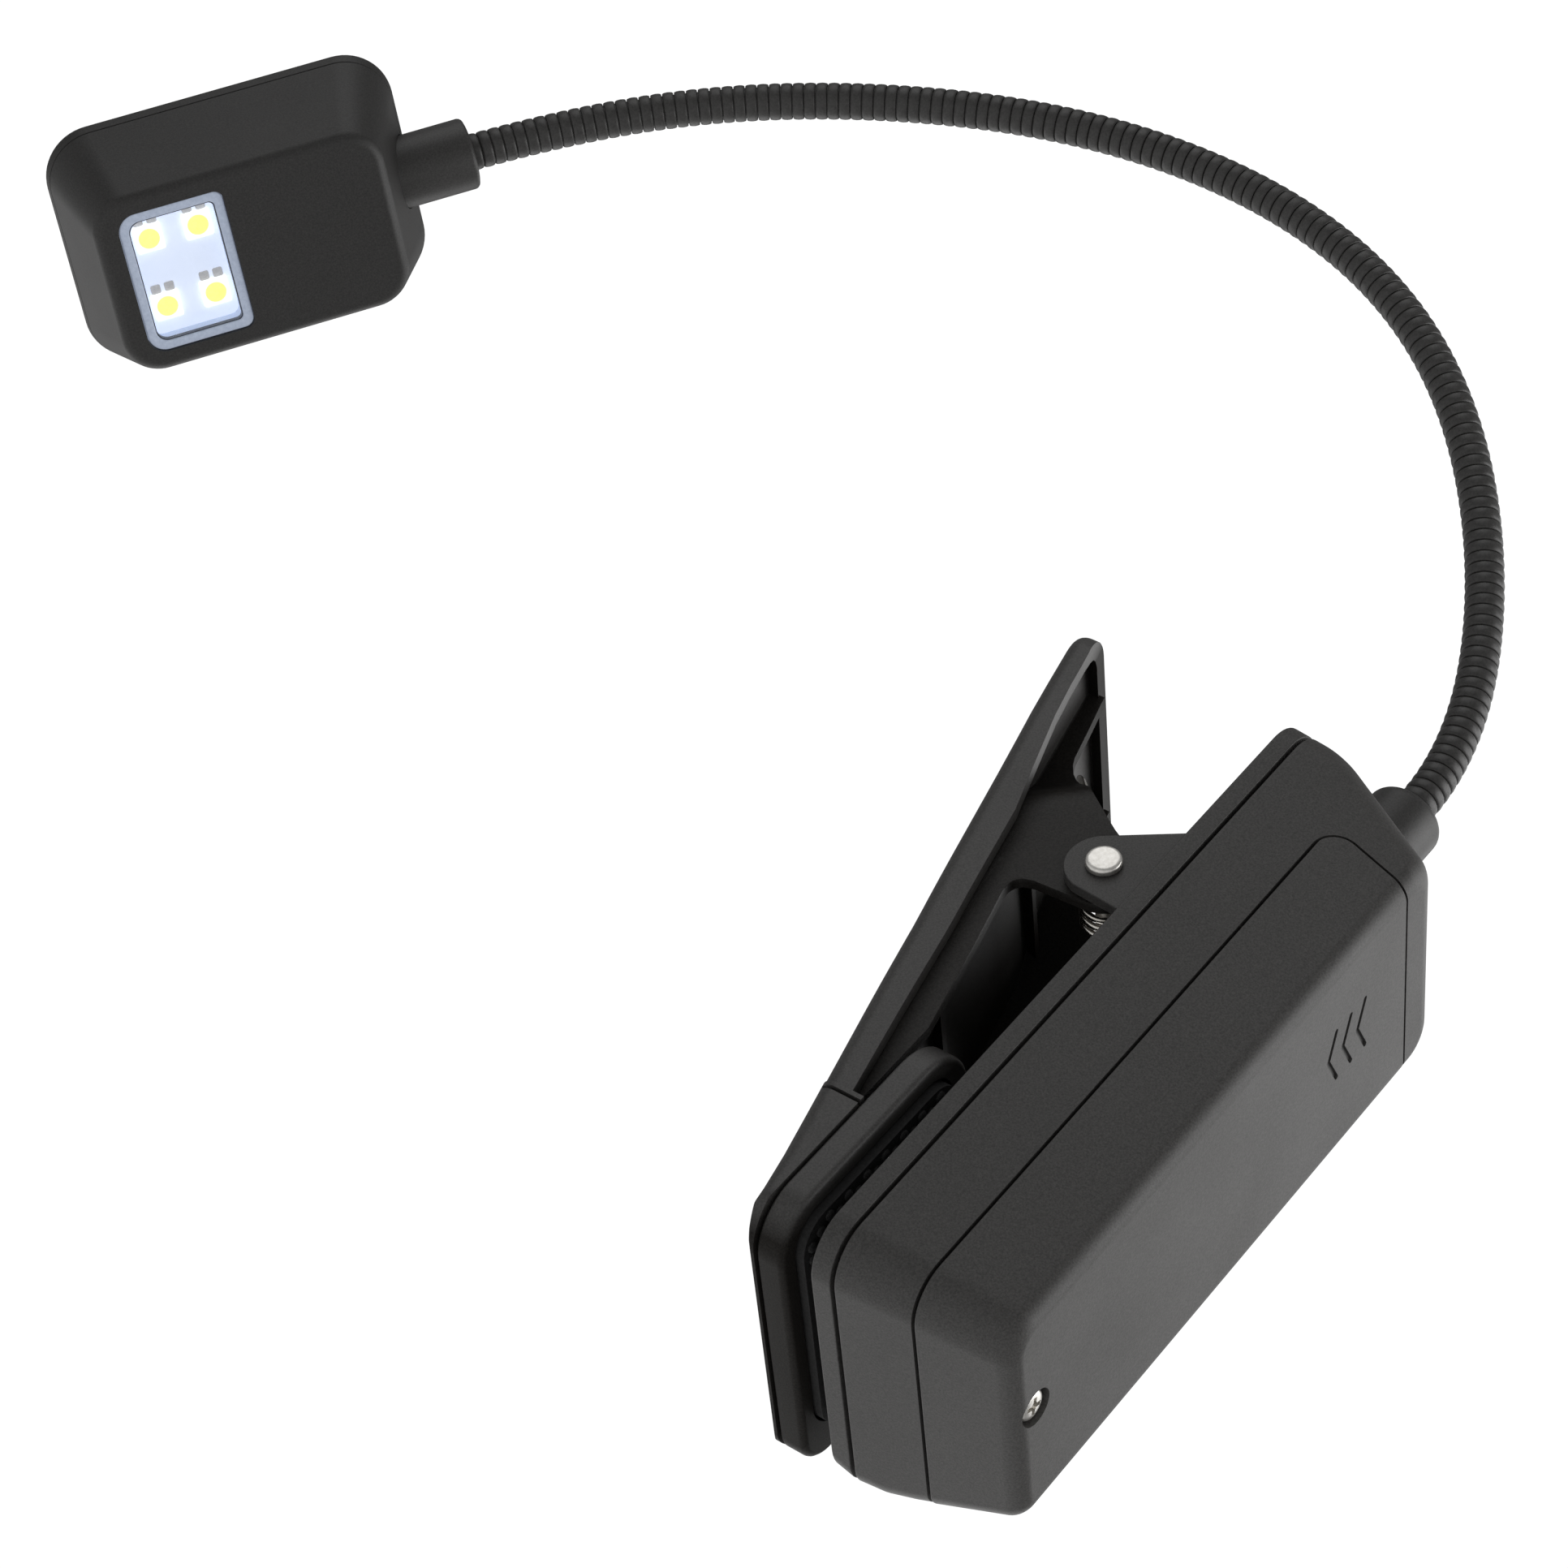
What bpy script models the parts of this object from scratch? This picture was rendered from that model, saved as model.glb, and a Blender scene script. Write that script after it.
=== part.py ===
"""Clip-on reading lamp: spring clip, battery box, gooseneck and LED head.

Lengths below are millimetres; the meshes are made in metres.  The row frame has its origin at the
centre of the fixed jaw pad's face.  +Z runs along the battery box towards the gooseneck, +X points
from the clip side to the battery door, and Y runs across the jaws.
"""
import math

import bmesh
import bpy
import numpy as np
from mathutils import Matrix, Vector

MM = 0.001
GAP = 0.3

# Battery box: a block that narrows from the clip side (low X) to the door (high X).
PLATE_X = 1.6
PLATE_SEAM_X = 4.6
DOOR_SEAM_X = 15.65
COVER_X = 29.6
BOX_HALF_WIDTH = 23.6
SIDE_TAPER = 0.185
FAR_EXTRA = 1.8
FAR_EXTRA_TAPER = 0.066
BOX_LOW_Z = -19.3
LOW_TAPER = 0.15
BOX_TOP_Z = 94.2
SLANT_START_X = 9.5
SLANT_SLOPE = 0.5
LOW_CORNER = 7.0
FAR_LOW_CORNER = 4.0
TOP_CORNER = 5.0
WALL = 1.8
PARTITION = (13.7, 15.3)
DOOR_TOP = [(DOOR_SEAM_X, 75.6), (16.0, 77.6), (17.2, 79.3), (19.0, 80.2), (21.0, 79.7), (40.0, 70.2)]
DOOR_SCREW = (-1.5, -10.8)

# Clip: hinge pin through two ears on the back plate and two on the lever.
PIN = Vector((-5.15, 0.0, 56.3))
PIN_RADIUS = 1.5
EAR_RADIUS = 5.5
BOX_EAR_Y = (21.0, 22.8)
LEVER_EAR_Y = (18.7, 20.5)
LEVER_HALF = 23.0
LEVER_FAR = 24.2
LEVER_TIP_Z = 94.0
LEVER_LOW_Z = -17.0
LEVER_BEND_Z = 33.5
LEVER_BEND_X = -21.1
LEVER_WALL = 2.0
HOLDER_X = (-6.8, -2.5)
PAD_Z = (-17.0, 17.0)
PAD_HALF = 20.6

# Gooseneck: a smooth curve through chosen waypoints, from the box collar to the head collar.
NECK_RADIUS = 2.87
NECK_BASE = Vector((12.4, 0.0, 108.0))
NECK_POINTS = [(2.4, -5.0, 142.8), (-20.6, -15.1, 171.6), (-51.8, -22.3, 187.4), (-89.1, -26.0, 188.6),
               (-125.1, -27.7, 176.7), (-156.0, -28.5, 155.2)]
NECK_END = Vector((-180.0, -27.8, 126.6))
NECK_SEGMENTS = 7
COLLAR_RADIUS = 5.8
NUT_Z = (81.0, 85.2)

# Head: local x points away from the neck, local z out of the lit face.
HEAD_REACH = Vector((-0.5579, 0.0237, -0.8296)).normalized()
HEAD_FACE = Vector((0.8053, -0.2261, -0.5480)).normalized()
HEAD_ORIGIN = Vector((-188.2, -30.2, 89.2))
FACE_HALF = (23.2, 14.8)
HEAD_TAPER_TIP = 0.205
HEAD_TAPER_NECK = 0.34
HEAD_TAPER_SIDE = 0.28
HEAD_DEPTH = 20.5
BACK_SEAM = 17.6
HEAD_CORNER = 6.0
HEAD_WALL = 1.6
WINDOW_X = (2.4, 19.5)
WINDOW_HALF_Y = 11.9
COLLAR_LEVEL = -14.5
LED_X = (7.0, 14.9)
LED_Y = (-5.9, 5.9)
LED_SIZE = 5.0
LED_TOP = -3.3

# AAA cells, side by side.
CELL_RADIUS = 5.2
CELL_LENGTH = 43.5
CELL_Z = -3.6
CELL_X = 20.9
CELL_PITCH = 10.9


def clear_scene():
    for thing in list(bpy.data.objects):
        bpy.data.objects.remove(thing, do_unlink=True)


def make_collection(name):
    collection = bpy.data.collections.new(name)
    bpy.context.scene.collection.children.link(collection)
    return collection


clear_scene()
PARTS = make_collection("clip_on_reading_lamp")
CUTTERS = make_collection("cutters")


def finish(name, color, roughness, metallic=0.0):
    material = bpy.data.materials.new(name)
    material.use_nodes = True
    shader = material.node_tree.nodes["Principled BSDF"]
    shader.inputs["Base Color"].default_value = (*color, 1.0)
    shader.inputs["Roughness"].default_value = roughness
    shader.inputs["Metallic"].default_value = metallic
    material.diffuse_color = (*color, 1.0)
    return material


BLACK = (0.028, 0.027, 0.027)
NICKEL = (0.75, 0.72, 0.66)


# ---------------------------------------------------------------- building blocks

def add_object(name, mesh, material=None, cutter=False):
    thing = bpy.data.objects.new(name, mesh)
    (CUTTERS if cutter else PARTS).objects.link(thing)
    if cutter:
        thing.hide_render = True
        thing.display_type = "WIRE"
    if material:
        mesh.materials.append(material)
    return thing


def mesh_from(bm, name):
    bmesh.ops.recalc_face_normals(bm, faces=bm.faces[:])
    mesh = bpy.data.meshes.new(name)
    bm.to_mesh(mesh)
    bm.free()
    mesh.shade_smooth()
    mesh.set_sharp_from_angle(angle=math.radians(32))
    return mesh


def loft(name, rings, material=None, cutter=False):
    """A closed skin over rings of equal point count, capped at both ends."""
    bm = bmesh.new()
    loops = [[bm.verts.new(Vector(point) * MM) for point in ring] for ring in rings]
    for first, second in zip(loops, loops[1:]):
        for i in range(len(first)):
            j = (i + 1) % len(first)
            bm.faces.new((first[i], first[j], second[j], second[i]))
    bm.faces.new(loops[0])
    bm.faces.new(loops[-1])
    return add_object(name, mesh_from(bm, name), material, cutter)


def prism(name, outline, axis, low, high, material=None, cutter=False):
    """A flat outline pushed along X, Y or Z; outline points are the two other coordinates."""
    place = {"X": lambda a, b, h: (h, a, b), "Y": lambda a, b, h: (a, h, b), "Z": lambda a, b, h: (a, b, h)}
    rings = [[place[axis](a, b, h) for a, b in outline] for h in (low, high)]
    return loft(name, rings, material, cutter)


def box(name, low, high, material=None, cutter=False):
    bm = bmesh.new()
    bmesh.ops.create_cube(bm, size=1.0)
    size = (Vector(high) - Vector(low)) * MM
    centre = (Vector(high) + Vector(low)) * MM / 2
    bmesh.ops.transform(bm, matrix=Matrix.Translation(centre) @ Matrix.Diagonal((*size, 1.0)), verts=bm.verts)
    return add_object(name, mesh_from(bm, name), material, cutter)


def rod(name, start, end, radius, material=None, cutter=False, sides=24):
    """A cylinder from start to end."""
    start, end = Vector(start) * MM, Vector(end) * MM
    turn = (end - start).to_track_quat("Z", "Y").to_matrix().to_4x4()
    bm = bmesh.new()
    bmesh.ops.create_cone(bm, cap_ends=True, segments=sides, radius1=radius * MM, radius2=radius * MM,
                          depth=(end - start).length, matrix=Matrix.Translation((start + end) / 2) @ turn)
    return add_object(name, mesh_from(bm, name), material, cutter)


def turned(name, profile, place, material=None, cutter=False, steps=24):
    """A turned piece: (radius, height) pairs from the top down, about the local z axis of place."""
    mesh = bpy.data.meshes.new(name)
    points = [(radius * MM, 0.0, height * MM) for radius, height in profile]
    mesh.from_pydata(points, [(i, i + 1) for i in range(len(points) - 1)], [])
    thing = add_object(name, mesh, material, cutter)
    screw = thing.modifiers.new("turn", "SCREW")
    screw.steps = steps
    screw.render_steps = steps
    screw.use_merge_vertices = True
    screw.merge_threshold = 0.00001
    screw.use_smooth_shade = True
    thing.matrix_world = place
    return thing


def wire(name, points, radius, material, resolution=2):
    """A round wire along points, made a mesh with welded caps."""
    curve = bpy.data.curves.new(name, "CURVE")
    curve.dimensions = "3D"
    curve.bevel_depth = radius * MM
    curve.bevel_resolution = resolution
    curve.use_fill_caps = True
    spline = curve.splines.new("POLY")
    spline.points.add(len(points) - 1)
    for target, point in zip(spline.points, points):
        target.co = (*(Vector(point) * MM), 1.0)
    guide = bpy.data.objects.new(name + "_guide", curve)
    CUTTERS.objects.link(guide)
    bpy.context.view_layer.update()
    solid = guide.evaluated_get(bpy.context.evaluated_depsgraph_get())
    bm = bmesh.new()
    bm.from_mesh(bpy.data.meshes.new_from_object(solid))
    bmesh.ops.remove_doubles(bm, verts=bm.verts[:], dist=0.000005)
    bpy.data.objects.remove(guide, do_unlink=True)
    return add_object(name, mesh_from(bm, name), material)


def combine(target, other, operation):
    change = target.modifiers.new(operation.lower(), "BOOLEAN")
    change.operation = operation
    change.object = other
    return target


def cut(target, *cutters):
    for cutter in cutters:
        combine(target, cutter, "DIFFERENCE")
    return target


def add(target, *others):
    for other in others:
        combine(target, other, "UNION")
    return target


def arc(centre, radius, start, end, steps):
    """Points on an arc in a plane; angles in degrees from the first axis towards the second."""
    angles = [math.radians(start + (end - start) * i / steps) for i in range(steps + 1)]
    return [(centre[0] + radius * math.cos(a), centre[1] + radius * math.sin(a)) for a in angles]


def rounded_rectangle(low, high, radius, steps=4):
    """A rounded rectangle outline as (a, b) pairs, anticlockwise; radius may be given per corner."""
    radii = radius if isinstance(radius, (tuple, list)) else (radius,) * 4
    corners = [(high[0], high[1], 0), (low[0], high[1], 90), (low[0], low[1], 180), (high[0], low[1], 270)]
    points = []
    for (a, b, start), r in zip(corners, radii):
        centre = (a - math.copysign(r, math.cos(math.radians(start + 45))),
                  b - math.copysign(r, math.sin(math.radians(start + 45))))
        points += arc(centre, r, start, start + 90, steps)
    return points


def place_at(origin, x_axis=None, z_axis=None):
    """A matrix at origin (mm) whose local axes are the given directions."""
    if z_axis is None:
        return Matrix.Translation(Vector(origin) * MM)
    z_axis = Vector(z_axis).normalized()
    x_axis = Vector(x_axis) if x_axis is not None else z_axis.orthogonal()
    x_axis = (x_axis - z_axis * x_axis.dot(z_axis)).normalized()
    turn = Matrix((x_axis, z_axis.cross(x_axis), z_axis)).transposed().to_4x4()
    return Matrix.Translation(Vector(origin) * MM) @ turn


def move_origin(thing, point):
    """Puts an object's origin on point (mm) and leaves its shape where it is."""
    shift = Matrix.Translation(Vector(point) * MM)
    thing.data.transform(shift.inverted() @ thing.matrix_world)
    thing.matrix_world = shift


# ---------------------------------------------------------------- battery box

def box_ring(x, inset=0.0):
    """The box's outline across Y and Z at height x above the clip side."""
    rise = x - PLATE_X
    half = BOX_HALF_WIDTH - SIDE_TAPER * rise - inset
    far = half + FAR_EXTRA - FAR_EXTRA_TAPER * rise
    low = BOX_LOW_Z + LOW_TAPER * rise + inset
    high = BOX_TOP_Z - SLANT_SLOPE * max(0.0, x - SLANT_START_X) - inset * 1.1
    corners = [max(1.0, corner - 0.05 * rise - inset)
               for corner in (TOP_CORNER, TOP_CORNER, LOW_CORNER, FAR_LOW_CORNER)]
    return [(x, y, z) for y, z in rounded_rectangle((-half, low), (far, high), corners)]


def box_block(name, low_x, high_x, inset=0.0, low_edge=0.0, high_edge=0.0, material=None, cutter=False):
    """A slice of the box between two heights, with rounded edges where asked."""
    rings = []
    if low_edge:
        rings += [box_ring(low_x + low_edge * (1 - math.cos(a)), inset + low_edge * (1 - math.sin(a)))
                  for a in (0.0, math.pi / 4)]
        rings.append(box_ring(low_x + low_edge, inset))
    else:
        rings.append(box_ring(low_x, inset))
    if low_x + low_edge < SLANT_START_X < high_x:
        rings.append(box_ring(SLANT_START_X, inset))
    if high_edge:
        rings += [box_ring(high_x - high_edge * (1 - math.sin(a)), inset + high_edge * (1 - math.cos(a)))
                  for a in (0.0, math.pi / 8, math.pi / 4, 3 * math.pi / 8, math.pi / 2)]
    else:
        rings.append(box_ring(high_x, inset))
    return loft(name, rings, material, cutter)


def door_region(name, gap):
    """The space of the battery door, smaller than its opening by gap."""
    outline = [(DOOR_TOP[0][0] + gap, -40.0)]
    outline += [(x + gap * 0.7, z - gap * 0.8) for x, z in DOOR_TOP]
    outline += [(40.0, -40.0)]
    return prism(name, outline, "Y", -40, 40, cutter=True)


def boss_points():
    return [(y, z) for z in (-11.0, 86.0) for y in (-15.5, 15.5)]


def make_back_plate():
    material = finish("back_plate", BLACK, 0.48)
    plate = box_block("back_plate", PLATE_X, PLATE_SEAM_X - GAP / 2, low_edge=0.35, material=material)
    outline = [(PLATE_X + 1.5, 68.8), (PLATE_X + 1.5, 50.2)]
    outline += arc((PIN.x, PIN.z), EAR_RADIUS, -106, -236, 8)
    for side in (-1, 1):
        low, high = sorted((side * BOX_EAR_Y[0], side * BOX_EAR_Y[1]))
        add(plate, prism("plate_ear_%+d" % side, outline, "Y", low, high, cutter=True))
    cut(plate, rod("pin_hole", (PIN.x, -40, PIN.z), (PIN.x, 40, PIN.z), PIN_RADIUS + 0.25, cutter=True))
    for index, (y, z) in enumerate(boss_points()):
        cut(plate, rod("plate_hole_%d" % index, (0, y, z), (8, y, z), 1.45, cutter=True, sides=16),
            rod("plate_sink_%d" % index, (0, y, z), (3.2, y, z), 2.9, cutter=True, sides=16))
    return plate


def make_jaw_pad():
    outline = rounded_rectangle((-PAD_HALF, PAD_Z[0]), (PAD_HALF, PAD_Z[1]), 5.0)
    return prism("jaw_pad", outline, "X", 0.0, PLATE_X - GAP, finish("rubber", (0.012, 0.012, 0.012), 0.8))


def make_mid_housing():
    material = finish("mid_housing", BLACK, 0.5)
    housing = box_block("mid_housing", PLATE_SEAM_X + GAP / 2, COVER_X, high_edge=2.5, material=material)
    cut(housing, door_region("door_opening", 0.0))
    bay = [box_ring(x, WALL) for x in (3.0, PARTITION[0])]
    bay = [[(x, y, min(z, 77.0)) for x, y, z in ring] for ring in bay]
    cut(housing, loft("electronics_bay", bay, cutter=True))
    cut(housing, box("battery_bay", (PARTITION[1], -18.3, -14.2), (DOOR_SEAM_X + 1, 18.3, 73.4), cutter=True))
    cut(housing, box("nut_pocket", (3.0, -4.6, 80.4), (16.9, 4.6, 85.8), cutter=True))
    cut(housing, box("wire_passage", (3.0, -2.5, 75.0), (10.5, 2.5, 81.0), cutter=True))
    cut(housing, rod("neck_hole", (NECK_BASE.x, 0, 79), (NECK_BASE.x, 0, 95), NECK_RADIUS + GAP, cutter=True),
        rod("collar_hole", (NECK_BASE.x, 0, 87.0), (NECK_BASE.x, 0, 97), COLLAR_RADIUS + GAP, cutter=True, sides=32))
    for z in (-11.4, 42.0):
        add(housing, box("cell_wall_%d" % z, (14.5, -17.0, z), (25.0, 17.0, z + 1.6), cutter=True))
    add(housing, rod("screw_post", (14.5, *DOOR_SCREW), (24.4, *DOOR_SCREW), 2.7, cutter=True, sides=16))
    cut(housing, rod("post_bore", (16.0, *DOOR_SCREW), (30, *DOOR_SCREW), 1.75, cutter=True, sides=12))
    for index, (y, z) in enumerate(boss_points()):
        if z < 80:
            add(housing, rod("boss_%d" % index, (PLATE_SEAM_X + 0.2, y, z), (14.2, y, z), 3.1, cutter=True, sides=16))
        cut(housing, rod("boss_bore_%d" % index, (3, y, z), (13.0, y, z), 1.45, cutter=True, sides=12))
    return housing


def make_battery_door():
    material = finish("battery_door", BLACK, 0.5)
    door = box_block("battery_door", DOOR_SEAM_X + GAP, COVER_X, high_edge=2.5, material=material)
    region = door_region("door_limit", GAP)
    combine(door, region, "INTERSECT")
    hollow = [box_ring(x, WALL) for x in (DOOR_SEAM_X - 2, COVER_X - WALL)]
    hollow = [[(x, y, min(z, 73.4)) for x, y, z in ring] for ring in hollow]
    cut(door, loft("door_hollow", hollow, cutter=True))
    screw_line = ((DOOR_SEAM_X, *DOOR_SCREW), (40, *DOOR_SCREW))
    add(door, rod("door_boss", (25.2, *DOOR_SCREW), (28.6, *DOOR_SCREW), 4.0, cutter=True, sides=16))
    cut(door, rod("screw_hole", *screw_line, 1.5, cutter=True, sides=16),
        rod("screw_sink", (27.2, *DOOR_SCREW), (40, *DOOR_SCREW), 2.85, cutter=True, sides=24))
    return door


def make_screw(name, head_at, direction, head_radius, head_height, shank_radius, shank_length):
    """A pan-head screw whose head's top is at head_at, with a cross recess."""
    profile = [(0, 0), (head_radius * 0.62, -0.05), (head_radius * 0.9, -0.35), (head_radius, -0.8),
               (head_radius, -head_height), (shank_radius, -head_height),
               (shank_radius, -head_height - shank_length + 1.0), (0, -head_height - shank_length)]
    place = place_at(head_at, z_axis=direction)
    screw = turned(name, profile, place, finish(name, NICKEL, 0.3, 1.0), steps=16)
    for turn in (0, 90):
        slot = box("%s_slot_%d" % (name, turn), (-head_radius * 0.55, -0.3, -0.8), (head_radius * 0.55, 0.3, 0.5),
                   cutter=True)
        slot.matrix_world = place @ Matrix.Rotation(math.radians(turn), 4, "Z")
        cut(screw, slot)
    return screw


def make_cells():
    sleeve = finish("cell", (0.10, 0.13, 0.17), 0.35, 0.2)
    profile = [(0, CELL_LENGTH + 0.8), (1.8, CELL_LENGTH + 0.8), (1.8, CELL_LENGTH), (CELL_RADIUS, CELL_LENGTH),
               (CELL_RADIUS, 0), (0, 0)]
    for index in range(3):
        y = (index - 1) * CELL_PITCH
        turned("cell_%d" % (index + 1), profile, place_at((CELL_X, y, CELL_Z)), sleeve, steps=20)
        plate_low = CELL_Z + CELL_LENGTH + 0.8 + GAP
        box("contact_plate_%d" % (index + 1), (CELL_X - 4, y - 4.2, plate_low), (CELL_X + 3.6, y + 4.2, 41.7),
            finish("contact_plate", NICKEL, 0.35, 1.0))
        make_contact_spring(index + 1, y)


def make_contact_spring(number, y):
    turns, steps = 2.5, 9
    low, high = -7.6 if number == 2 else -9.3, CELL_Z - 0.7
    points = []
    for i in range(int(turns * steps) + 1):
        angle = 2 * math.pi * i / steps
        share = i / (turns * steps)
        radius = 3.4 - 1.2 * share
        points.append((CELL_X + radius * math.cos(angle), y + radius * math.sin(angle), low + (high - low) * share))
    wire("contact_spring_%d" % number, points, 0.35, finish("contact_spring", NICKEL, 0.3, 1.0))


def make_driver_board():
    board = box("driver_board", (11.9, -13.0, 26.0), (PARTITION[0] - GAP, 13.0, 68.0),
                finish("driver_board", (0.02, 0.12, 0.05), 0.5))
    add(board, box("driver_chip", (9.6, -4, 40), (12.4, 4, 50), cutter=True),
        rod("driver_coil", (8.4, 7, 58), (12.4, 7, 58), 3.0, cutter=True, sides=16))
    return board


# ---------------------------------------------------------------- clip lever

def lever_back(z):
    """X of the lever's back at height z: two straight runs, eased into each other at the bend."""
    above = LEVER_BEND_X - (z - LEVER_BEND_Z) * 0.2034
    below = LEVER_BEND_X + (LEVER_BEND_Z - z) * 0.2484
    ease = max(0.0, 1 - abs(z - LEVER_BEND_Z) / 16.0)
    return (above if z > LEVER_BEND_Z else below) + 0.2 * ease * ease


def lever_depth(z):
    """How far the lever's side walls reach from its back towards the box."""
    return float(np.interp(z, [-17, -2, 6, 33, 63, 90, 94], [3.0, 5.2, 4.6, 5.2, 4.4, 2.9, 1.6]))


def lever_ring(z, back, front, half, radius):
    """A section of the lever: square towards the box, rounded at the back."""
    far = half + LEVER_FAR - LEVER_HALF
    points = [(front, far, z), (back + radius, far, z)]
    points += [(a, b, z) for a, b in arc((back + radius, far - radius), radius, 90, 180, 4)][1:]
    points += [(a, b, z) for a, b in arc((back + radius, -half + radius), radius, 180, 270, 4)]
    points += [(front, -half, z)]
    return points


def make_clip_lever():
    seam = HOLDER_X[0] - GAP
    rings = [lever_ring(LEVER_LOW_Z, lever_back(LEVER_LOW_Z) + 2.0, seam, LEVER_HALF, 1.2),
             lever_ring(-16.2, lever_back(-16.2) + 0.7, seam, LEVER_HALF, 2.0),
             lever_ring(-14.0, lever_back(-14.0), seam, LEVER_HALF, 2.6),
             lever_ring(4.6, lever_back(4.6), seam, LEVER_HALF, 2.6)]
    rings += [lever_ring(z, lever_back(z), lever_back(z) + lever_depth(z), LEVER_HALF, 2.6)
              for z in (4.7, 17.6, 26, 33.5, 41, 63, 90)]
    rings += [lever_ring(93.0, lever_back(93) + 0.1, lever_back(93) + 2.4, LEVER_HALF, 1.1),
              lever_ring(LEVER_TIP_Z, lever_back(94) + 0.7, lever_back(94) + 1.9, LEVER_HALF, 0.5)]
    lever = loft("clip_lever", rings, finish("clip_lever", BLACK, 0.45))
    limit = rounded_rectangle((-LEVER_HALF - 0.01, LEVER_LOW_Z - 0.01), (LEVER_FAR + 0.01, LEVER_TIP_Z + 0.01),
                              (3.0, 3.0, 7.0, 4.5), 5)
    combine(lever, prism("lever_limit", limit, "X", -60, 10, cutter=True), "INTERSECT")
    inner = LEVER_HALF - LEVER_WALL
    hollow = [lever_ring(z, lever_back(z) + LEVER_WALL, lever_back(z) + 12, inner, 1.2)
              for z in (7.0, 17.6, 26, 33.5, 41, 63, 80)]
    hollow.append(lever_ring(91.4, lever_back(91.4) + 1.4, lever_back(91.4) + 12, inner, 1.2))
    cut(lever, loft("lever_hollow", hollow, cutter=True))
    rib = [(lever_back(76) + 1.0, 76.0), (lever_back(76) + 2.5, 76.0), (lever_back(92) + 2.4, 92.0),
           (lever_back(92) + 0.8, 92.0)]
    for y in (-11.0, 11.0):
        add(lever, prism("tip_rib_%+d" % y, rib, "Y", y - 0.6, y + 0.6, cutter=True))
    outline = [(-17.6, 44.0), (-15.1, 48.4), (-12.6, 50.1)]
    outline += arc((PIN.x, PIN.z), EAR_RADIUS - 0.1, -95, 75, 12)
    outline += [(-10.1, 65.0), (-23.9, 73.2), (-26.4, 76.4), (lever_back(81) + 1.0, 81.0), (lever_back(63) + 1.0, 63.0),
                (lever_back(44) + 1.0, 44.0)]
    for side in (-1, 1):
        low, high = sorted((side * LEVER_EAR_Y[0], side * LEVER_EAR_Y[1]))
        add(lever, prism("lever_ear_%+d" % side, outline, "Y", low, high, cutter=True))
    bore = rod("lever_pin_hole", (PIN.x, -40, PIN.z), (PIN.x, 40, PIN.z), PIN_RADIUS + 0.25, cutter=True)
    cut(lever, bore)
    return lever


def make_lever_jaw():
    outline = rounded_rectangle((-23.4, -19.0), (24.6, 21.0), (9.0, 9.0, 7.5, 4.8), 5)
    inset = [(0.6 + (y - 0.6) * 0.972, 1.0 + (z - 1.0) * 0.972) for y, z in outline]
    rings = [[(HOLDER_X[0], y, z) for y, z in outline], [(HOLDER_X[1] - 0.6, y, z) for y, z in outline],
             [(HOLDER_X[1], y, z) for y, z in inset]]
    holder = loft("pad_holder", rings, finish("pad_holder", BLACK, 0.5))
    pocket = rounded_rectangle((-PAD_HALF - GAP, PAD_Z[0] - 0.4 + GAP), (PAD_HALF + GAP, PAD_Z[1] + GAP), 5.5)
    cut(holder, prism("pad_pocket", pocket, "X", HOLDER_X[1] - 1.6, 5, cutter=True))
    pad = rounded_rectangle((-PAD_HALF + 0.2, PAD_Z[0] + 0.3), (PAD_HALF - 0.2, PAD_Z[1] - 0.2), 5.0)
    grip = prism("lever_pad", pad, "X", HOLDER_X[1] - 1.3, -1.0, finish("lever_rubber", (0.012,) * 3, 0.8))
    return holder, grip


def make_pin():
    near = -BOX_EAR_Y[1] - GAP
    far = -near
    profile = [(0, 0.95), (1.6, 0.95), (2.3, 0.75), (2.55, 0.4), (2.55, 0), (PIN_RADIUS, 0),
               (PIN_RADIUS, near * 2 - 1.2), (0, near * 2 - 1.2)]
    place = place_at((PIN.x, near, PIN.z), z_axis=(0, -1, 0))
    turned("pivot_pin", profile, place, finish("pivot_pin", NICKEL, 0.22, 1.0))
    clip = [(PIN_RADIUS + 0.2, 0), (2.6, 0), (2.6, 0.8), (PIN_RADIUS + 0.2, 0.8), (PIN_RADIUS + 0.2, 0)]
    turned("pin_clip", clip[::-1], place_at((PIN.x, far, PIN.z), z_axis=(0, 1, 0)), finish("pin_clip", NICKEL, 0.3, 1.0))


def make_torsion_spring():
    """Double torsion spring: leg, coil, arm, bight at the handle, arm, coil, leg."""
    coil_radius, turns, steps = 3.2, 3, 12
    leave = 46.5
    near_y, far_y = 16.5, 11.3
    half = [(0.9 - 0.2, near_y, 38.0), (PIN.x + coil_radius + 0.3, near_y, 48.0)]
    count = turns * steps + 1
    for i in range(count + 1):
        share = i / count
        angle = math.radians((turns * 360 + leave) * share)
        y = near_y + (far_y - near_y) * share
        half.append((PIN.x + coil_radius * math.cos(angle), y, PIN.z + coil_radius * math.sin(angle)))
    half += [(-15.5, 9.8, 70.5), (-26.0, 7.6, 80.4), (-27.6, 5.6, 81.9), (-28.1, 2.8, 82.5)]
    path = half + [(x, -y, z) for x, y, z in reversed(half)]
    return wire("torsion_spring", path, 0.5, finish("torsion_spring", NICKEL, 0.25, 1.0))


# ---------------------------------------------------------------- gooseneck

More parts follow.
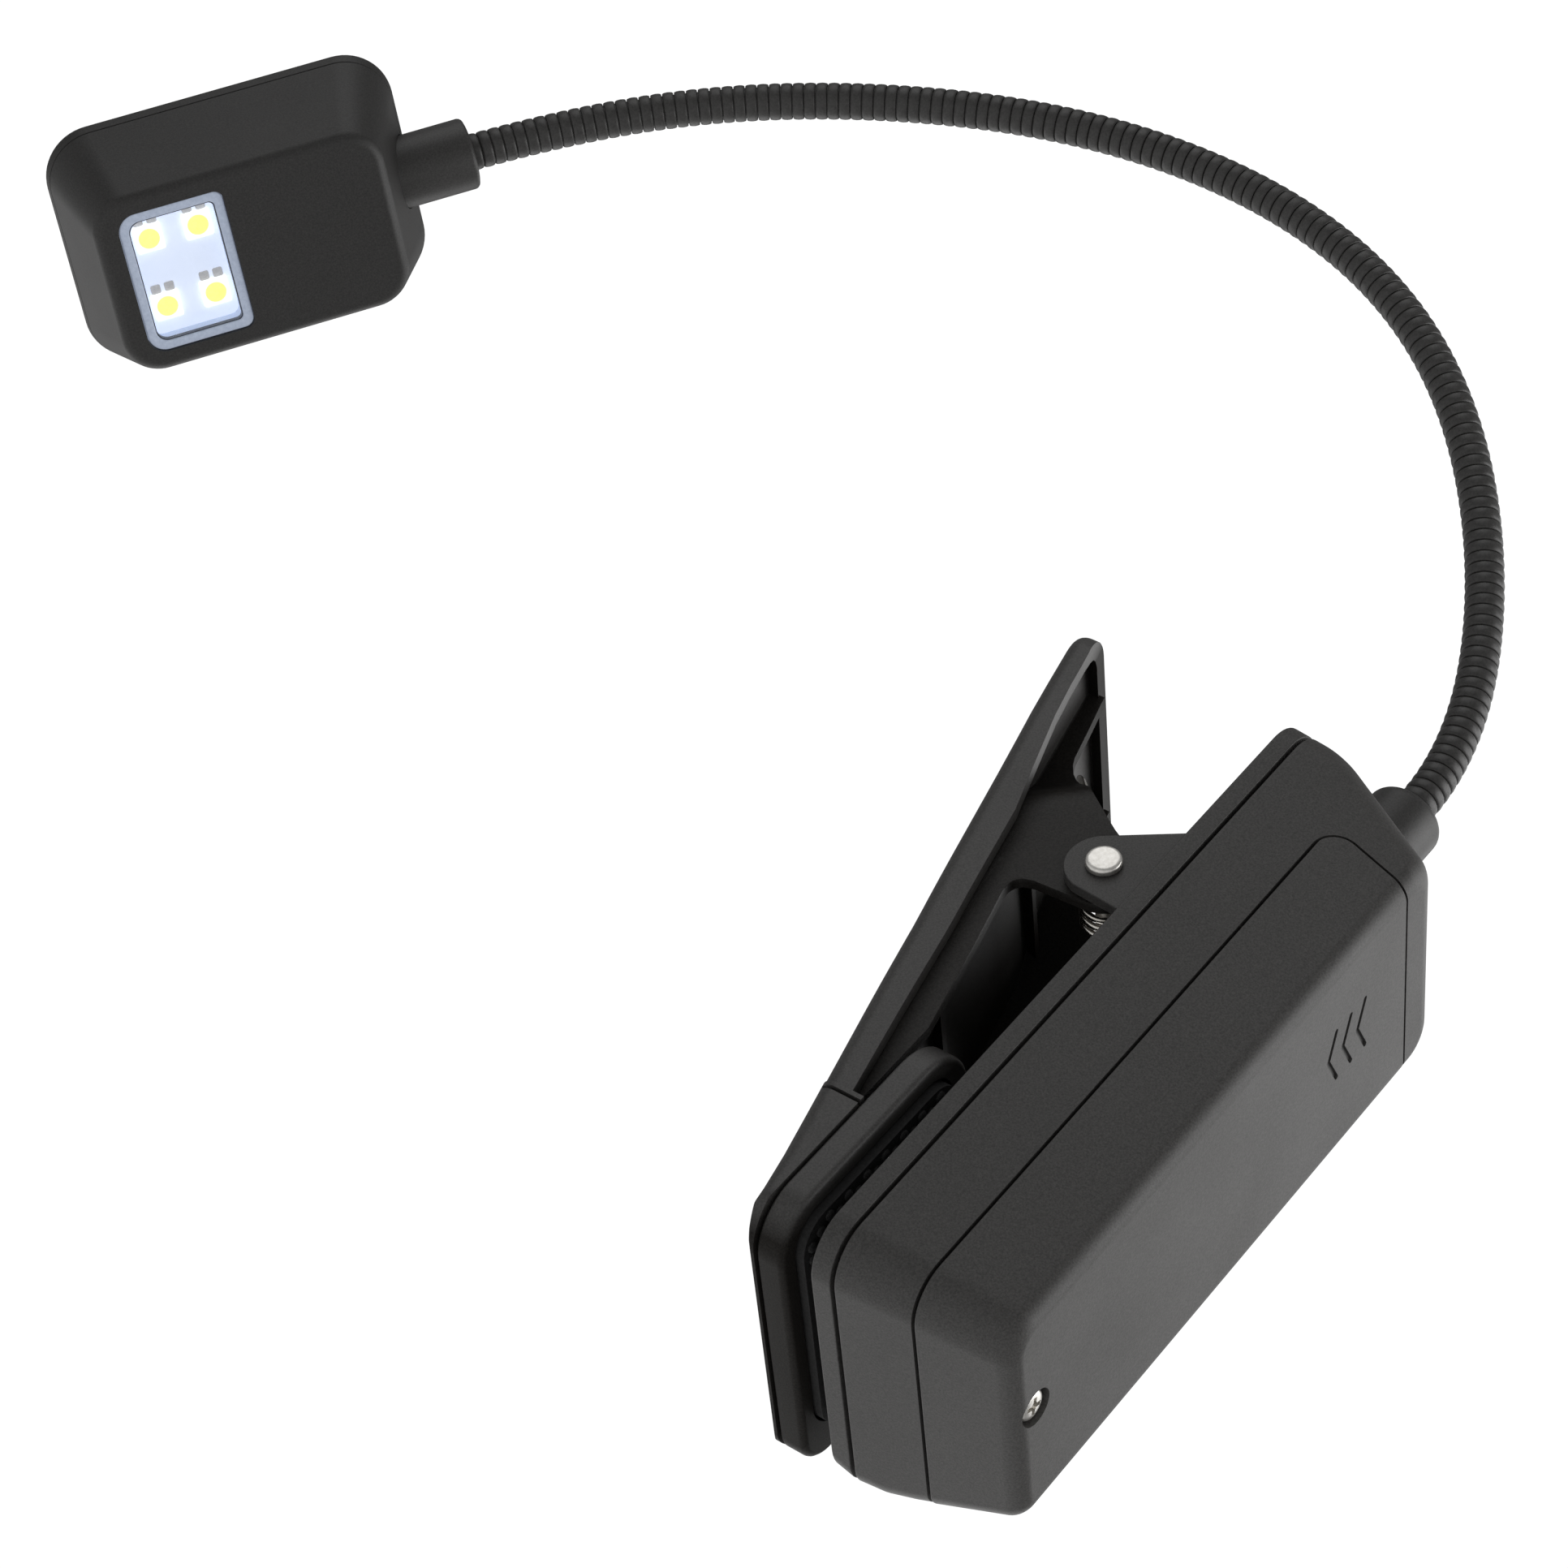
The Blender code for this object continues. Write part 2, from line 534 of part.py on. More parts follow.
def neck_curve():
    """Points, tangents and arc lengths of the neck: a clamped cubic spline through its waypoints."""
    knots = np.array([NECK_BASE[:], *NECK_POINTS, NECK_END[:]])
    count = len(knots)
    speed = 260.0 / (count - 1)
    system = np.zeros((count, count))
    right = np.zeros((count, 3))
    system[0, 0] = system[-1, -1] = 1.0
    right[0] = np.array((0.0, 0.0, 1.0)) * speed
    right[-1] = np.array(HEAD_REACH[:]) * speed
    for i in range(1, count - 1):
        system[i, i - 1:i + 2] = (1.0, 4.0, 1.0)
        right[i] = 3.0 * (knots[i + 1] - knots[i - 1])
    slopes = np.linalg.solve(system, right)
    points = []
    for i in range(count - 1):
        for t in np.linspace(0, 1, 80, endpoint=False):
            points.append((2 * t**3 - 3 * t**2 + 1) * knots[i] + (t**3 - 2 * t**2 + t) * slopes[i]
                          + (3 * t**2 - 2 * t**3) * knots[i + 1] + (t**3 - t**2) * slopes[i + 1])
    points.append(knots[-1])
    points = np.array(points)
    lengths = np.concatenate(([0.0], np.cumsum(np.linalg.norm(np.diff(points, axis=0), axis=1))))
    return points, np.gradient(points, axis=0), lengths


NECK = neck_curve()
NECK_LENGTH = float(NECK[2][-1])
NECK_STEP = NECK_LENGTH / (NECK_SEGMENTS - 1)


def neck_at(length):
    """Position and direction at a distance along the neck, straight on beyond either end."""
    points, tangents, lengths = NECK
    inside = min(max(length, 0.0), NECK_LENGTH)
    where = Vector([float(np.interp(inside, lengths, points[:, k])) for k in range(3)])
    way = Vector([float(np.interp(inside, lengths, tangents[:, k])) for k in range(3)]).normalized()
    return where + way * (length - inside), way


def neck_ring(length, radius, sides=10):
    where, way = neck_at(length)
    side = Vector((0, 1, 0)).cross(way).normalized()
    up = way.cross(side)
    angles = [2 * math.pi * i / sides for i in range(sides)]
    return [where + radius * (side * math.cos(a) + up * math.sin(a)) for a in angles]


def neck_joint(index):
    """Distance along the neck of the joint between segment index and the next."""
    return NECK_STEP * (index - 0.5)


def make_neck():
    for index in range(1, NECK_SEGMENTS + 1):
        first = index == 1
        last = index == NECK_SEGMENTS
        start = NUT_Z[0] - NECK_BASE.z if first else neck_joint(index - 1) + NECK_RADIUS + 0.35
        end = NECK_LENGTH + 11.0 if last else neck_joint(index)
        count = 5 if first or last else 7
        rings = [neck_ring(start + (end - start) * i / count, NECK_RADIUS) for i in range(count + 1)]
        if not last:
            rings += [neck_ring(end + NECK_RADIUS * math.sin(a), NECK_RADIUS * math.cos(a))
                      for a in (math.radians(25), math.radians(50), math.radians(75))]
        segment = loft("neck_%d" % index, rings, finish("neck_%d" % index, (0.02, 0.02, 0.02), 0.4, 0.3))
        if not first:
            move_origin(segment, neck_at(neck_joint(index - 1))[0])


def make_box_collar():
    low, high = 87.3, NECK_BASE.z - 2.0
    profile = [(NECK_RADIUS + GAP, high), (COLLAR_RADIUS - 1.8, high), (COLLAR_RADIUS - 0.8, high - 0.35),
               (COLLAR_RADIUS - 0.2, high - 1.0), (COLLAR_RADIUS, high - 2.0), (COLLAR_RADIUS, low),
               (NECK_RADIUS + GAP, low), (NECK_RADIUS + GAP, high)]
    turned("box_collar", profile, place_at((NECK_BASE.x, 0, 0)), finish("box_collar", BLACK, 0.45), steps=32)
    hexagon = arc((NECK_BASE.x, 0), 4.1, 0, 300, 5)
    nut = prism("neck_nut", hexagon, "Z", *NUT_Z, finish("neck_nut", NICKEL, 0.35, 1.0))
    cut(nut, rod("nut_bore", (NECK_BASE.x, 0, 70), (NECK_BASE.x, 0, 90), NECK_RADIUS + 0.25, cutter=True))


# ---------------------------------------------------------------- head

HEAD = place_at(HEAD_ORIGIN, HEAD_REACH, HEAD_FACE)


def head_ring(depth, inset=0.0):
    """The head's outline at a depth below its lit face."""
    neck_end = -FACE_HALF[0] - HEAD_TAPER_NECK * depth + inset
    tip_end = FACE_HALF[0] + HEAD_TAPER_TIP * depth - inset
    half_y = FACE_HALF[1] + HEAD_TAPER_SIDE * depth - inset
    corner = max(1.0, HEAD_CORNER + 0.12 * depth - inset)
    return [(x, y, -depth) for x, y in rounded_rectangle((neck_end, -half_y), (tip_end, half_y), corner, 5)]


def in_head(thing):
    thing.matrix_world = HEAD @ thing.matrix_world
    return thing


def make_head_shell():
    rings = [head_ring(0.0, 1.2), head_ring(0.35, 0.35), head_ring(1.2), head_ring(BACK_SEAM)]
    shell = in_head(loft("head_shell", rings, finish("head_shell", BLACK, 0.45)))
    cut(shell, in_head(loft("head_hollow", [head_ring(HEAD_WALL, HEAD_WALL), head_ring(BACK_SEAM + 1, HEAD_WALL)],
                            cutter=True)))
    opening = rounded_rectangle((WINDOW_X[0], -WINDOW_HALF_Y), (WINDOW_X[1], WINDOW_HALF_Y), (3.0, 1.5, 1.5, 3.0), 3)
    cut(shell, in_head(prism("window_opening", opening, "Z", -5, 3, cutter=True)))
    cut(shell, in_head(rod("collar_opening", (-40, 0, COLLAR_LEVEL), (-20, 0, COLLAR_LEVEL), COLLAR_RADIUS + GAP,
                           cutter=True)))
    for y in (-11.0, 11.0):
        add(shell, in_head(rod("head_boss_%+d" % y, (-16, y, -1.0), (-16, y, -BACK_SEAM), 2.6, cutter=True, sides=16)))
        cut(shell, in_head(rod("head_bore_%+d" % y, (-16, y, -4.0), (-16, y, -30), 1.2, cutter=True, sides=12)))
    return shell


def make_head_back():
    rings = [head_ring(BACK_SEAM + GAP), head_ring(HEAD_DEPTH - 1.6), head_ring(HEAD_DEPTH - 0.5, 0.7),
             head_ring(HEAD_DEPTH, 2.2)]
    cover = in_head(loft("head_back_cover", rings, finish("head_back_cover", BLACK, 0.45)))
    cut(cover, in_head(rod("collar_notch", (-40, 0, COLLAR_LEVEL), (-20, 0, COLLAR_LEVEL), COLLAR_RADIUS + GAP,
                           cutter=True)))
    cut(cover, in_head(rod("button_opening", (-4, 0, -BACK_SEAM + 1), (-4, 0, -HEAD_DEPTH - 1), 5.3, cutter=True)))
    for y in (-11.0, 11.0):
        cut(cover, in_head(rod("cover_hole_%+d" % y, (-16, y, -10), (-16, y, -30), 1.2, cutter=True, sides=12)),
            in_head(rod("cover_sink_%+d" % y, (-16, y, -HEAD_DEPTH + 1.3), (-16, y, -30), 2.3, cutter=True, sides=16)))
        at = HEAD @ (Vector((-16, y, -HEAD_DEPTH + 0.1)) * MM) / MM
        make_screw("head_screw_%d" % (1 if y < 0 else 2), at, -HEAD_FACE, 1.9, 1.1, 0.9, 8.0)
    return cover


def make_head_collar():
    length = 18.6
    profile = [(NECK_RADIUS + GAP, length), (COLLAR_RADIUS, length), (COLLAR_RADIUS, 0.5), (COLLAR_RADIUS - 0.5, 0),
               (NECK_RADIUS + GAP, 0), (NECK_RADIUS + GAP, length)]
    start = HEAD @ (Vector((-FACE_HALF[0] - 15.9, 0, COLLAR_LEVEL)) * MM) / MM
    collar = turned("head_collar", profile, place_at(start, z_axis=HEAD_REACH), finish("head_collar", BLACK, 0.45),
                    steps=32)
    return collar


def make_lighting():
    opening = rounded_rectangle((WINDOW_X[0] + GAP, -WINDOW_HALF_Y + GAP), (WINDOW_X[1] - GAP, WINDOW_HALF_Y - GAP),
                                (2.7, 1.2, 1.2, 2.7), 3)
    in_head(prism("led_window", opening, "Z", -1.5, -0.4, finish("led_window", (0.85, 0.92, 1.0), 0.05)))
    low, high = (WINDOW_X[0] - 0.6, -12.4), (WINDOW_X[1] + 0.9, 12.4)
    tray = in_head(prism("reflector_tray", rounded_rectangle(low, high, 2.0, 3), "Z", -6.4, -1.9,
                         finish("reflector_tray", (0.85, 0.87, 0.92), 0.4)))
    well = rounded_rectangle((low[0] + 1.0, low[1] + 1.0), (high[0] - 1.0, high[1] - 1.0), 1.5, 3)
    cut(tray, in_head(prism("tray_well", well, "Z", -5.4, 0, cutter=True)))
    in_head(box("led_board", (WINDOW_X[0] + 0.9, -10.9, -5.1), (WINDOW_X[1] - 0.6, 10.9, -4.2),
                finish("led_board", (0.8, 0.82, 0.85), 0.4)))
    number = 0
    for y in LED_Y:
        for x in LED_X:
            number += 1
            half = LED_SIZE / 2
            in_head(box("led_%d" % number, (x - half, y - half, -3.9), (x + half, y + half, LED_TOP + 0.0),
                        finish("led_%d" % number, (0.9, 0.88, 0.6), 0.3)))


def make_button():
    profile = [(0, 1.0), (3.4, 0.9), (4.6, 0.3), (5.0, -0.6), (5.0, -2.9), (5.6, -2.9), (5.6, -3.7), (0, -3.7)]
    base = HEAD @ (Vector((-4, 0, -HEAD_DEPTH)) * MM) / MM
    turned("power_button", profile, place_at(base, z_axis=-HEAD_FACE), finish("power_button", BLACK, 0.5))
    switch = in_head(box("switch_body", (-9.0, -5.0, -13.2), (1.0, 5.0, -8.2), finish("switch_body", BLACK, 0.5)))
    add(switch, in_head(rod("switch_stem", (-4, 0, -9), (-4, 0, -15.2), 1.4, cutter=True, sides=12)))


def main():
    lever_parts = [make_clip_lever()]
    make_back_plate()
    make_jaw_pad()
    make_mid_housing()
    make_battery_door()
    make_screw("door_screw", (29.0, *DOOR_SCREW), (1, 0, 0), 2.4, 1.5, 1.1, 9.0)
    for index, (y, z) in enumerate(boss_points()):
        make_screw("plate_screw_%d" % (index + 1), (PLATE_X + 0.1, y, z), (-1, 0, 0), 2.5, 1.2, 1.1, 8.0)
    make_cells()
    make_driver_board()
    lever_parts += make_lever_jaw()
    for piece in lever_parts:
        move_origin(piece, PIN)
    make_pin()
    make_torsion_spring()
    make_neck()
    make_box_collar()
    make_head_shell()
    make_head_back()
    make_head_collar()
    make_lighting()
    make_button()


main()
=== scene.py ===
"""Looks of the clip-on reading lamp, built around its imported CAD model.

Lengths are in millimetres, except that the camera, the floor and the lights are placed in metres.
"""
import math

import bmesh
import bpy
import numpy as np
from mathutils import Matrix, Vector


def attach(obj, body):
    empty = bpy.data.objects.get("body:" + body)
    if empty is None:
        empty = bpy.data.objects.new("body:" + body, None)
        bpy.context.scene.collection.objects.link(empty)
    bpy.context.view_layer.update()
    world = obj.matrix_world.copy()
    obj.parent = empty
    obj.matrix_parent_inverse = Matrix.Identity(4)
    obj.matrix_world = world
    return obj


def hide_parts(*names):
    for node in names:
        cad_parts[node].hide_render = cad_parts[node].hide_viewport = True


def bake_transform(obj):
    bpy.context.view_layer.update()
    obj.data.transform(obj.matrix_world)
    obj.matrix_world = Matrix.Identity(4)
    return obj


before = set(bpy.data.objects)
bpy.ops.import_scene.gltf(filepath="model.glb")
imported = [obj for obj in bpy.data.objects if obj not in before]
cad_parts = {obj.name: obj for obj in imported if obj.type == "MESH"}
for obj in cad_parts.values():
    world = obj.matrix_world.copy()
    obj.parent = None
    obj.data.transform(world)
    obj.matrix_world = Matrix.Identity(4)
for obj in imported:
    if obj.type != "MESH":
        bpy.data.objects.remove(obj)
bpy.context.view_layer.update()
MM = 0.001

# Battery box
PLATE_X = 1.6
PLATE_SEAM_X = 4.6
DOOR_SEAM_X = 15.65
DOOR_SLOPE = 0.2
DOOR_CORNER = 3.8
DOOR_CORNER_Z = 75.5
DOOR_HOLLOW_TOP = 73.4
SEAM_HALF = 0.26
COVER_X = 29.6
HALF_WIDTH = 23.6
SIDE_TAPER = 0.185
FAR_EXTRA = 1.8
FAR_EXTRA_TAPER = 0.066
LOW_Z = -19.3
LOW_TAPER = 0.15
TOP_Z = 94.2
SLANT_START_X = 9.5
SLANT_SLOPE = 0.5
SLANT_EASE = 3.0
CORNERS = (6.6, 6.6, 7.0)
FAR_LOW_CORNER = ((1.6, 6.8), (4.6, 4.6), (9.0, 3.8), (29.6, 2.8))
FAR_BULGE = ((1.6, 0.1), (4.6, 1.4), (9.0, 2.3), (15.0, 2.1), (22.0, 1.2), (29.6, 0.0))
BULGE_Z = (-10.0, 40.0)
TOP_SHIFT = 1.1
SHIFT_Z = (15.0, 95.0)
WALL = 1.8
BOSS_Y = 15.5
BOSS_Z = (-11.0, 86.0)
DOOR_SCREW = (-1.5, -10.8)
MARK_Y = -2.6
MARK_LEVELS = (57.6, 61.2, 64.8)

# Clip
PIN = Vector((-5.15, 0.0, 56.3))
PIN_RADIUS = 1.5
PIN_CLEARANCE = 0.25
EAR_RADIUS = 5.5
EAR_Y = (21.0, 22.8)
LEVER_NEAR = -23.0
LEVER_FAR = 24.2
LEVER_TIP_Z = 94.6
LEVER_LOW_Z = -19.8
LEVER_LOW_NEAR = -23.5
LEVER_LOW_FAR = 26.2
LEVER_CROWN = ((35.0, 0.0), (50.0, 0.45), (66.0, 0.95), (78.0, 1.45), (94.0, 1.6))
LEVER_DEPTH = ((4.0, 4.8), (36.0, 5.6), (58.0, 5.9), (66.0, 5.1), (78.0, 4.2), (88.0, 4.1), (94.0, 3.6))
LEVER_FLARE = ((30.0, 0.0), (60.0, 0.4), (90.0, 0.9))
CHEEK_FRONT = ((12.0, -8.9), (21.0, -8.9), (34.8, -12.2), (41.3, -13.8), (46.6, -15.2), (48.2, -15.3),
               (49.2, -15.0), (50.0, -14.2), (50.5, -12.6), (50.8, -10.0), (51.1, -7.5), (61.5, -3.6),
               (63.4, -7.0), (64.7, -9.5), (68.6, -15.3), (73.0, -20.4), (76.4, -24.3), (77.7, -25.6),
               (79.6, -26.5), (85.8, -28.2), (91.4, -29.8), (92.4, -30.0))
CHEEK_Y = 19.6
CHEEK_TURN_IN = 8.1
CHEEK_HALF = 0.85
TIP_CORNER = 6.0
TIP_EDGE = 2.0
LEVER_BEND = (-21.1, 33.5)
LEVER_SLOPE_ABOVE = 0.2034
LEVER_SLOPE_BELOW = 0.2484
LEVER_EASE = 16.0
BACK_LEAN = 0.22
LEVER_WALL = 2.0
HOLDER_X = (-6.8, -2.5)
PAD_HALF = 20.6
PAD_Z = (-17.0, 17.0)
PAD_CORNER = 5.0
STUD_PITCH = 2.3
STUD_HEIGHT = 0.45
WIRE_RADIUS = 0.5
COIL_RADIUS = 3.2
COIL_TURNS = 3

# Gooseneck
NECK_RADIUS = 2.87
NECK_BASE = Vector((12.4, 0.0, 108.0))
NECK_POINTS = [(2.4, -5.0, 142.8), (-20.6, -15.1, 171.6), (-51.8, -22.3, 187.4), (-89.1, -26.0, 188.6),
               (-125.1, -27.7, 176.7), (-156.0, -28.5, 155.2)]
NECK_END = Vector((-180.0, -27.8, 126.6))
NECK_LINKS = 7
RING_PITCH = 1.9
GROOVE_DEPTH = 0.42
NECK_IN_BOX = 16.0
NECK_IN_HEAD = 10.0
COLLAR_RADIUS = 5.8

# Head
REACH = Vector((-0.5579, 0.0237, -0.8296)).normalized()
FACE = Vector((0.8053, -0.2261, -0.5480)).normalized()
HEAD_ORIGIN = Vector((-188.2, -30.2, 89.2))
FACE_HALF = (23.2, 14.8)
TAPER_TIP, TAPER_NECK, TAPER_SIDE = 0.205, 0.34, 0.28
HEAD_DEPTH = 20.5
BACK_SEAM = 17.6
HEAD_CORNER = 6.0
HEAD_WALL = 1.6
WINDOW_X = (2.4, 19.5)
WINDOW_HALF_Y = 11.9
COLLAR_LEVEL = -14.5
LED_X = (7.0, 14.9)
LED_Y = (-5.9, 5.9)
LED_HALF = 2.2

# Camera and floor, in metres
CAMERA_LENS = 104.197
CAMERA_PLACE = (0.248113, -0.459379, -0.290069)
CAMERA_TURN = ((0.793563, -0.377231, 0.477446), (0.080441, -0.712719, -0.696822),
               (0.603147, 0.591378, -0.535243))
FLOOR_Z = -0.75


# ---------------------------------------------------------------- materials

def node_material(name):
    material = bpy.data.materials.new(name)
    material.use_nodes = True
    tree = material.node_tree
    return material, tree.nodes, tree.links, tree.nodes["Principled BSDF"]


def speckled(name, dark, light, roughness=0.5, grain=3600.0, bump=0.22, metallic=0.0):
    """A moulded or coated surface: fine grain in colour and height, and slow drifts in its sheen."""
    material, nodes, links, shader = node_material(name)
    place = nodes.new("ShaderNodeTexCoord")
    fine = nodes.new("ShaderNodeTexNoise")
    fine.inputs["Scale"].default_value = grain
    fine.inputs["Detail"].default_value = 2.5
    fine.inputs["Roughness"].default_value = 0.7
    ramp = nodes.new("ShaderNodeValToRGB")
    ramp.color_ramp.elements[0].position = 0.34
    ramp.color_ramp.elements[0].color = (*dark, 1.0)
    ramp.color_ramp.elements[1].position = 0.68
    ramp.color_ramp.elements[1].color = (*light, 1.0)
    slow = nodes.new("ShaderNodeTexNoise")
    slow.inputs["Scale"].default_value = 60.0
    slow.inputs["Detail"].default_value = 3.0
    sheen = nodes.new("ShaderNodeMapRange")
    sheen.inputs["To Min"].default_value = roughness - 0.05
    sheen.inputs["To Max"].default_value = roughness + 0.07
    height = nodes.new("ShaderNodeBump")
    height.inputs["Strength"].default_value = bump
    height.inputs["Distance"].default_value = 0.00006
    for texture in (fine, slow):
        links.new(place.outputs["Object"], texture.inputs["Vector"])
    links.new(fine.outputs["Fac"], ramp.inputs["Fac"])
    links.new(ramp.outputs["Color"], shader.inputs["Base Color"])
    links.new(slow.outputs["Fac"], sheen.inputs["Value"])
    links.new(sheen.outputs["Result"], shader.inputs["Roughness"])
    links.new(fine.outputs["Fac"], height.inputs["Height"])
    links.new(height.outputs["Normal"], shader.inputs["Normal"])
    shader.inputs["Metallic"].default_value = metallic
    return material


def grey(value, warm=0.04):
    return (value * (1 + warm), value, value * (1 - warm))


BOX_PLASTIC = speckled("box_plastic", grey(0.028), grey(0.064), 0.5)
DOOR_PLASTIC = speckled("door_plastic", grey(0.030), grey(0.068), 0.5)
LEVER_PLASTIC = speckled("lever_plastic", grey(0.030), grey(0.064), 0.46)
HEAD_PLASTIC = speckled("head_plastic", grey(0.012), grey(0.030), 0.5)
COLLAR_PLASTIC = speckled("collar_plastic", grey(0.020), grey(0.042), 0.46)
BUTTON_PLASTIC = speckled("button_plastic", grey(0.020), grey(0.036), 0.4)
SWITCH_PLASTIC = speckled("switch_plastic", grey(0.015), grey(0.022), 0.4)
NECK_COATING = speckled("neck_coating", grey(0.024), grey(0.044), 0.42, grain=2600.0, bump=0.15)
RUBBER = speckled("pad_rubber", grey(0.010, 0.0), grey(0.024, 0.0), 0.75, grain=2200.0, bump=0.3)
BLACK_STEEL = speckled("black_steel", grey(0.018), grey(0.030), 0.35, metallic=0.6)
NICKEL = speckled("nickel", (0.72, 0.70, 0.66), (0.88, 0.86, 0.82), 0.34, grain=1500.0, bump=0.05,
                  metallic=1.0)
SPRING_STEEL = speckled("spring_steel", (0.60, 0.57, 0.52), (0.78, 0.75, 0.70), 0.22, grain=1200.0,
                        bump=0.05, metallic=1.0)
BOARD_GREEN = speckled("circuit_board", (0.01, 0.09, 0.03), (0.02, 0.14, 0.05), 0.35, grain=900.0, bump=0.1)
SLEEVE = speckled("cell_sleeve", (0.05, 0.07, 0.10), (0.07, 0.09, 0.13), 0.3, grain=800.0, bump=0.04,
                  metallic=0.3)


def shade_hollow(material):
    """Paint shade into the lever's hollow: darker colour and weaker reflections inwards from its near rim,
    and only in front of its back wall.
    """
    nodes, links = material.node_tree.nodes, material.node_tree.links
    shader, ramp = nodes["Principled BSDF"], nodes["Color Ramp"]

    def ranged(source, low, high, to_low=0.0, to_high=1.0):
        node = nodes.new("ShaderNodeMapRange")
        limits = (("From Min", low), ("From Max", high), ("To Min", to_low), ("To Max", to_high))
        for socket, value in limits:
            node.inputs[socket].default_value = value
        links.new(source, node.inputs["Value"])
        return node.outputs["Result"]

    place = nodes.new("ShaderNodeTexCoord")
    split = nodes.new("ShaderNodeSeparateXYZ")
    links.new(place.outputs["Object"], split.inputs["Vector"])
    depth = nodes.new("ShaderNodeMath")
    depth.operation = "MULTIPLY_ADD"
    depth.inputs[1].default_value = BACK_LEAN
    links.new(split.outputs["Z"], depth.inputs[0])
    links.new(split.outputs["X"], depth.inputs[2])
    back = lever_back(40.0) + BACK_LEAN * 40.0
    # Painted shade: where both ranges hold, the hollow's reflections are weakened and its colour is
    # multiplied by a grey.
    both = nodes.new("ShaderNodeMath")
    both.operation = "MULTIPLY"
    links.new(ranged(split.outputs["Y"], -22.6 * MM, -19.6 * MM), both.inputs[0])
    links.new(ranged(depth.outputs["Value"], (back + 1.2) * MM, (back + 1.7) * MM), both.inputs[1])
    links.new(ranged(both.outputs["Value"], 0.0, 1.0, 0.5, 0.06), shader.inputs["Specular IOR Level"])
    mix = nodes.new("ShaderNodeMixRGB")
    mix.blend_type = "MULTIPLY"
    mix.inputs["Color2"].default_value = (0.36, 0.34, 0.32, 1.0)
    links.new(both.outputs["Value"], mix.inputs["Fac"])
    links.new(ramp.outputs["Color"], mix.inputs["Color1"])
    links.new(mix.outputs["Color"], shader.inputs["Base Color"])


def glowing(name, dark, light, glow, strength, roughness=0.35):
    """A speckled surface that also gives light."""
    material = speckled(name, dark, light, roughness, grain=1500.0, bump=0.04)
    shader = material.node_tree.nodes["Principled BSDF"]
    shader.inputs["Emission Color"].default_value = (*glow, 1.0)
    shader.inputs["Emission Strength"].default_value = strength
    return material


# Painted glow: the reflector tray's white plastic gives off light of its own, though it is no lamp.
TRAY_PAINTED_GLOW = glowing("white_tray", (0.50, 0.56, 0.68), (0.58, 0.64, 0.76), (0.68, 0.77, 0.98), 0.24)
# Painted glow: the LED board gives off light of its own, though it is no lamp.
BOARD_PAINTED_GLOW = glowing("white_board", (0.58, 0.63, 0.74), (0.68, 0.72, 0.82), (0.79, 0.84, 0.97), 0.66)
LED_CASE = glowing("led_case", (0.86, 0.86, 0.80), (0.94, 0.94, 0.88), (1.0, 1.0, 0.93), 0.80)
PHOSPHOR = glowing("phosphor", (0.84, 0.82, 0.22), (0.92, 0.90, 0.30), (1.0, 0.98, 0.22), 0.92)
# Painted glow on the real solder pads: it stands in for the LEDs' reflection in the window.
SOLDER_PAINTED_GLOW = glowing("solder_pads_painted_glow", (0.42, 0.40, 0.38), (0.56, 0.54, 0.52), (0.82, 0.8, 0.8), 0.26)
SEAL = speckled("window_seal", (0.05, 0.06, 0.08), (0.08, 0.09, 0.12), 0.4)


def window_material():
    """Clear plastic with slow waves in its surface."""
    material, nodes, links, shader = node_material("clear_window")
    place = nodes.new("ShaderNodeTexCoord")
    waves = nodes.new("ShaderNodeTexNoise")
    waves.inputs["Scale"].default_value = 240.0
    height = nodes.new("ShaderNodeBump")
    height.inputs["Strength"].default_value = 0.12
    height.inputs["Distance"].default_value = 0.0001
    links.new(place.outputs["Object"], waves.inputs["Vector"])
    links.new(waves.outputs["Fac"], height.inputs["Height"])
    links.new(height.outputs["Normal"], shader.inputs["Normal"])
    shader.inputs["Base Color"].default_value = (0.93, 0.96, 1.0, 1.0)
    shader.inputs["Roughness"].default_value = 0.12
    shader.inputs["Transmission Weight"].default_value = 1.0
    shader.inputs["IOR"].default_value = 1.2
    return material


CLEAR = window_material()
# Painted glow: the window's rim gives off light of its own, though it is no lamp.
FRAME_PAINTED_GLOW = glowing("window_frame_painted_glow", (0.32, 0.37, 0.47), (0.42, 0.47, 0.57), (0.62, 0.71, 0.90), 0.20,
                      0.22)


# ---------------------------------------------------------------- mesh tools

def to_mesh(bm, name):
    bmesh.ops.remove_doubles(bm, verts=bm.verts[:], dist=1e-7)
    bmesh.ops.recalc_face_normals(bm, faces=bm.faces[:])
    mesh = bpy.data.meshes.new(name)
    bm.to_mesh(mesh)
    bm.free()
    return mesh


def holder_of(mesh):
    thing = bpy.data.objects.new(mesh.name, mesh)
    bpy.context.scene.collection.objects.link(thing)
    return thing


def loft(rings, name="loft", closed=False):
    """A skin over rings of equal point count, capped at both ends unless the rings close on themselves."""
    bm = bmesh.new()
    loops = [[bm.verts.new(Vector(point) * MM) for point in ring] for ring in rings]
    pairs = list(zip(loops, loops[1:])) + ([(loops[-1], loops[0])] if closed else [])
    for first, second in pairs:
        for i in range(len(first)):
            j = (i + 1) % len(first)
            bm.faces.new((first[i], first[j], second[j], second[i]))
    if not closed:
        bm.faces.new(loops[0][::-1])
        bm.faces.new(loops[-1])
    return to_mesh(bm, name)


def prism(outline, axis, low, high):
    """A flat outline carried along an axis."""
    place = {"X": lambda a, b, h: (h, a, b), "Y": lambda a, b, h: (a, h, b), "Z": lambda a, b, h: (a, b, h)}
    return loft([[place[axis](a, b, h) for a, b in outline] for h in (low, high)])


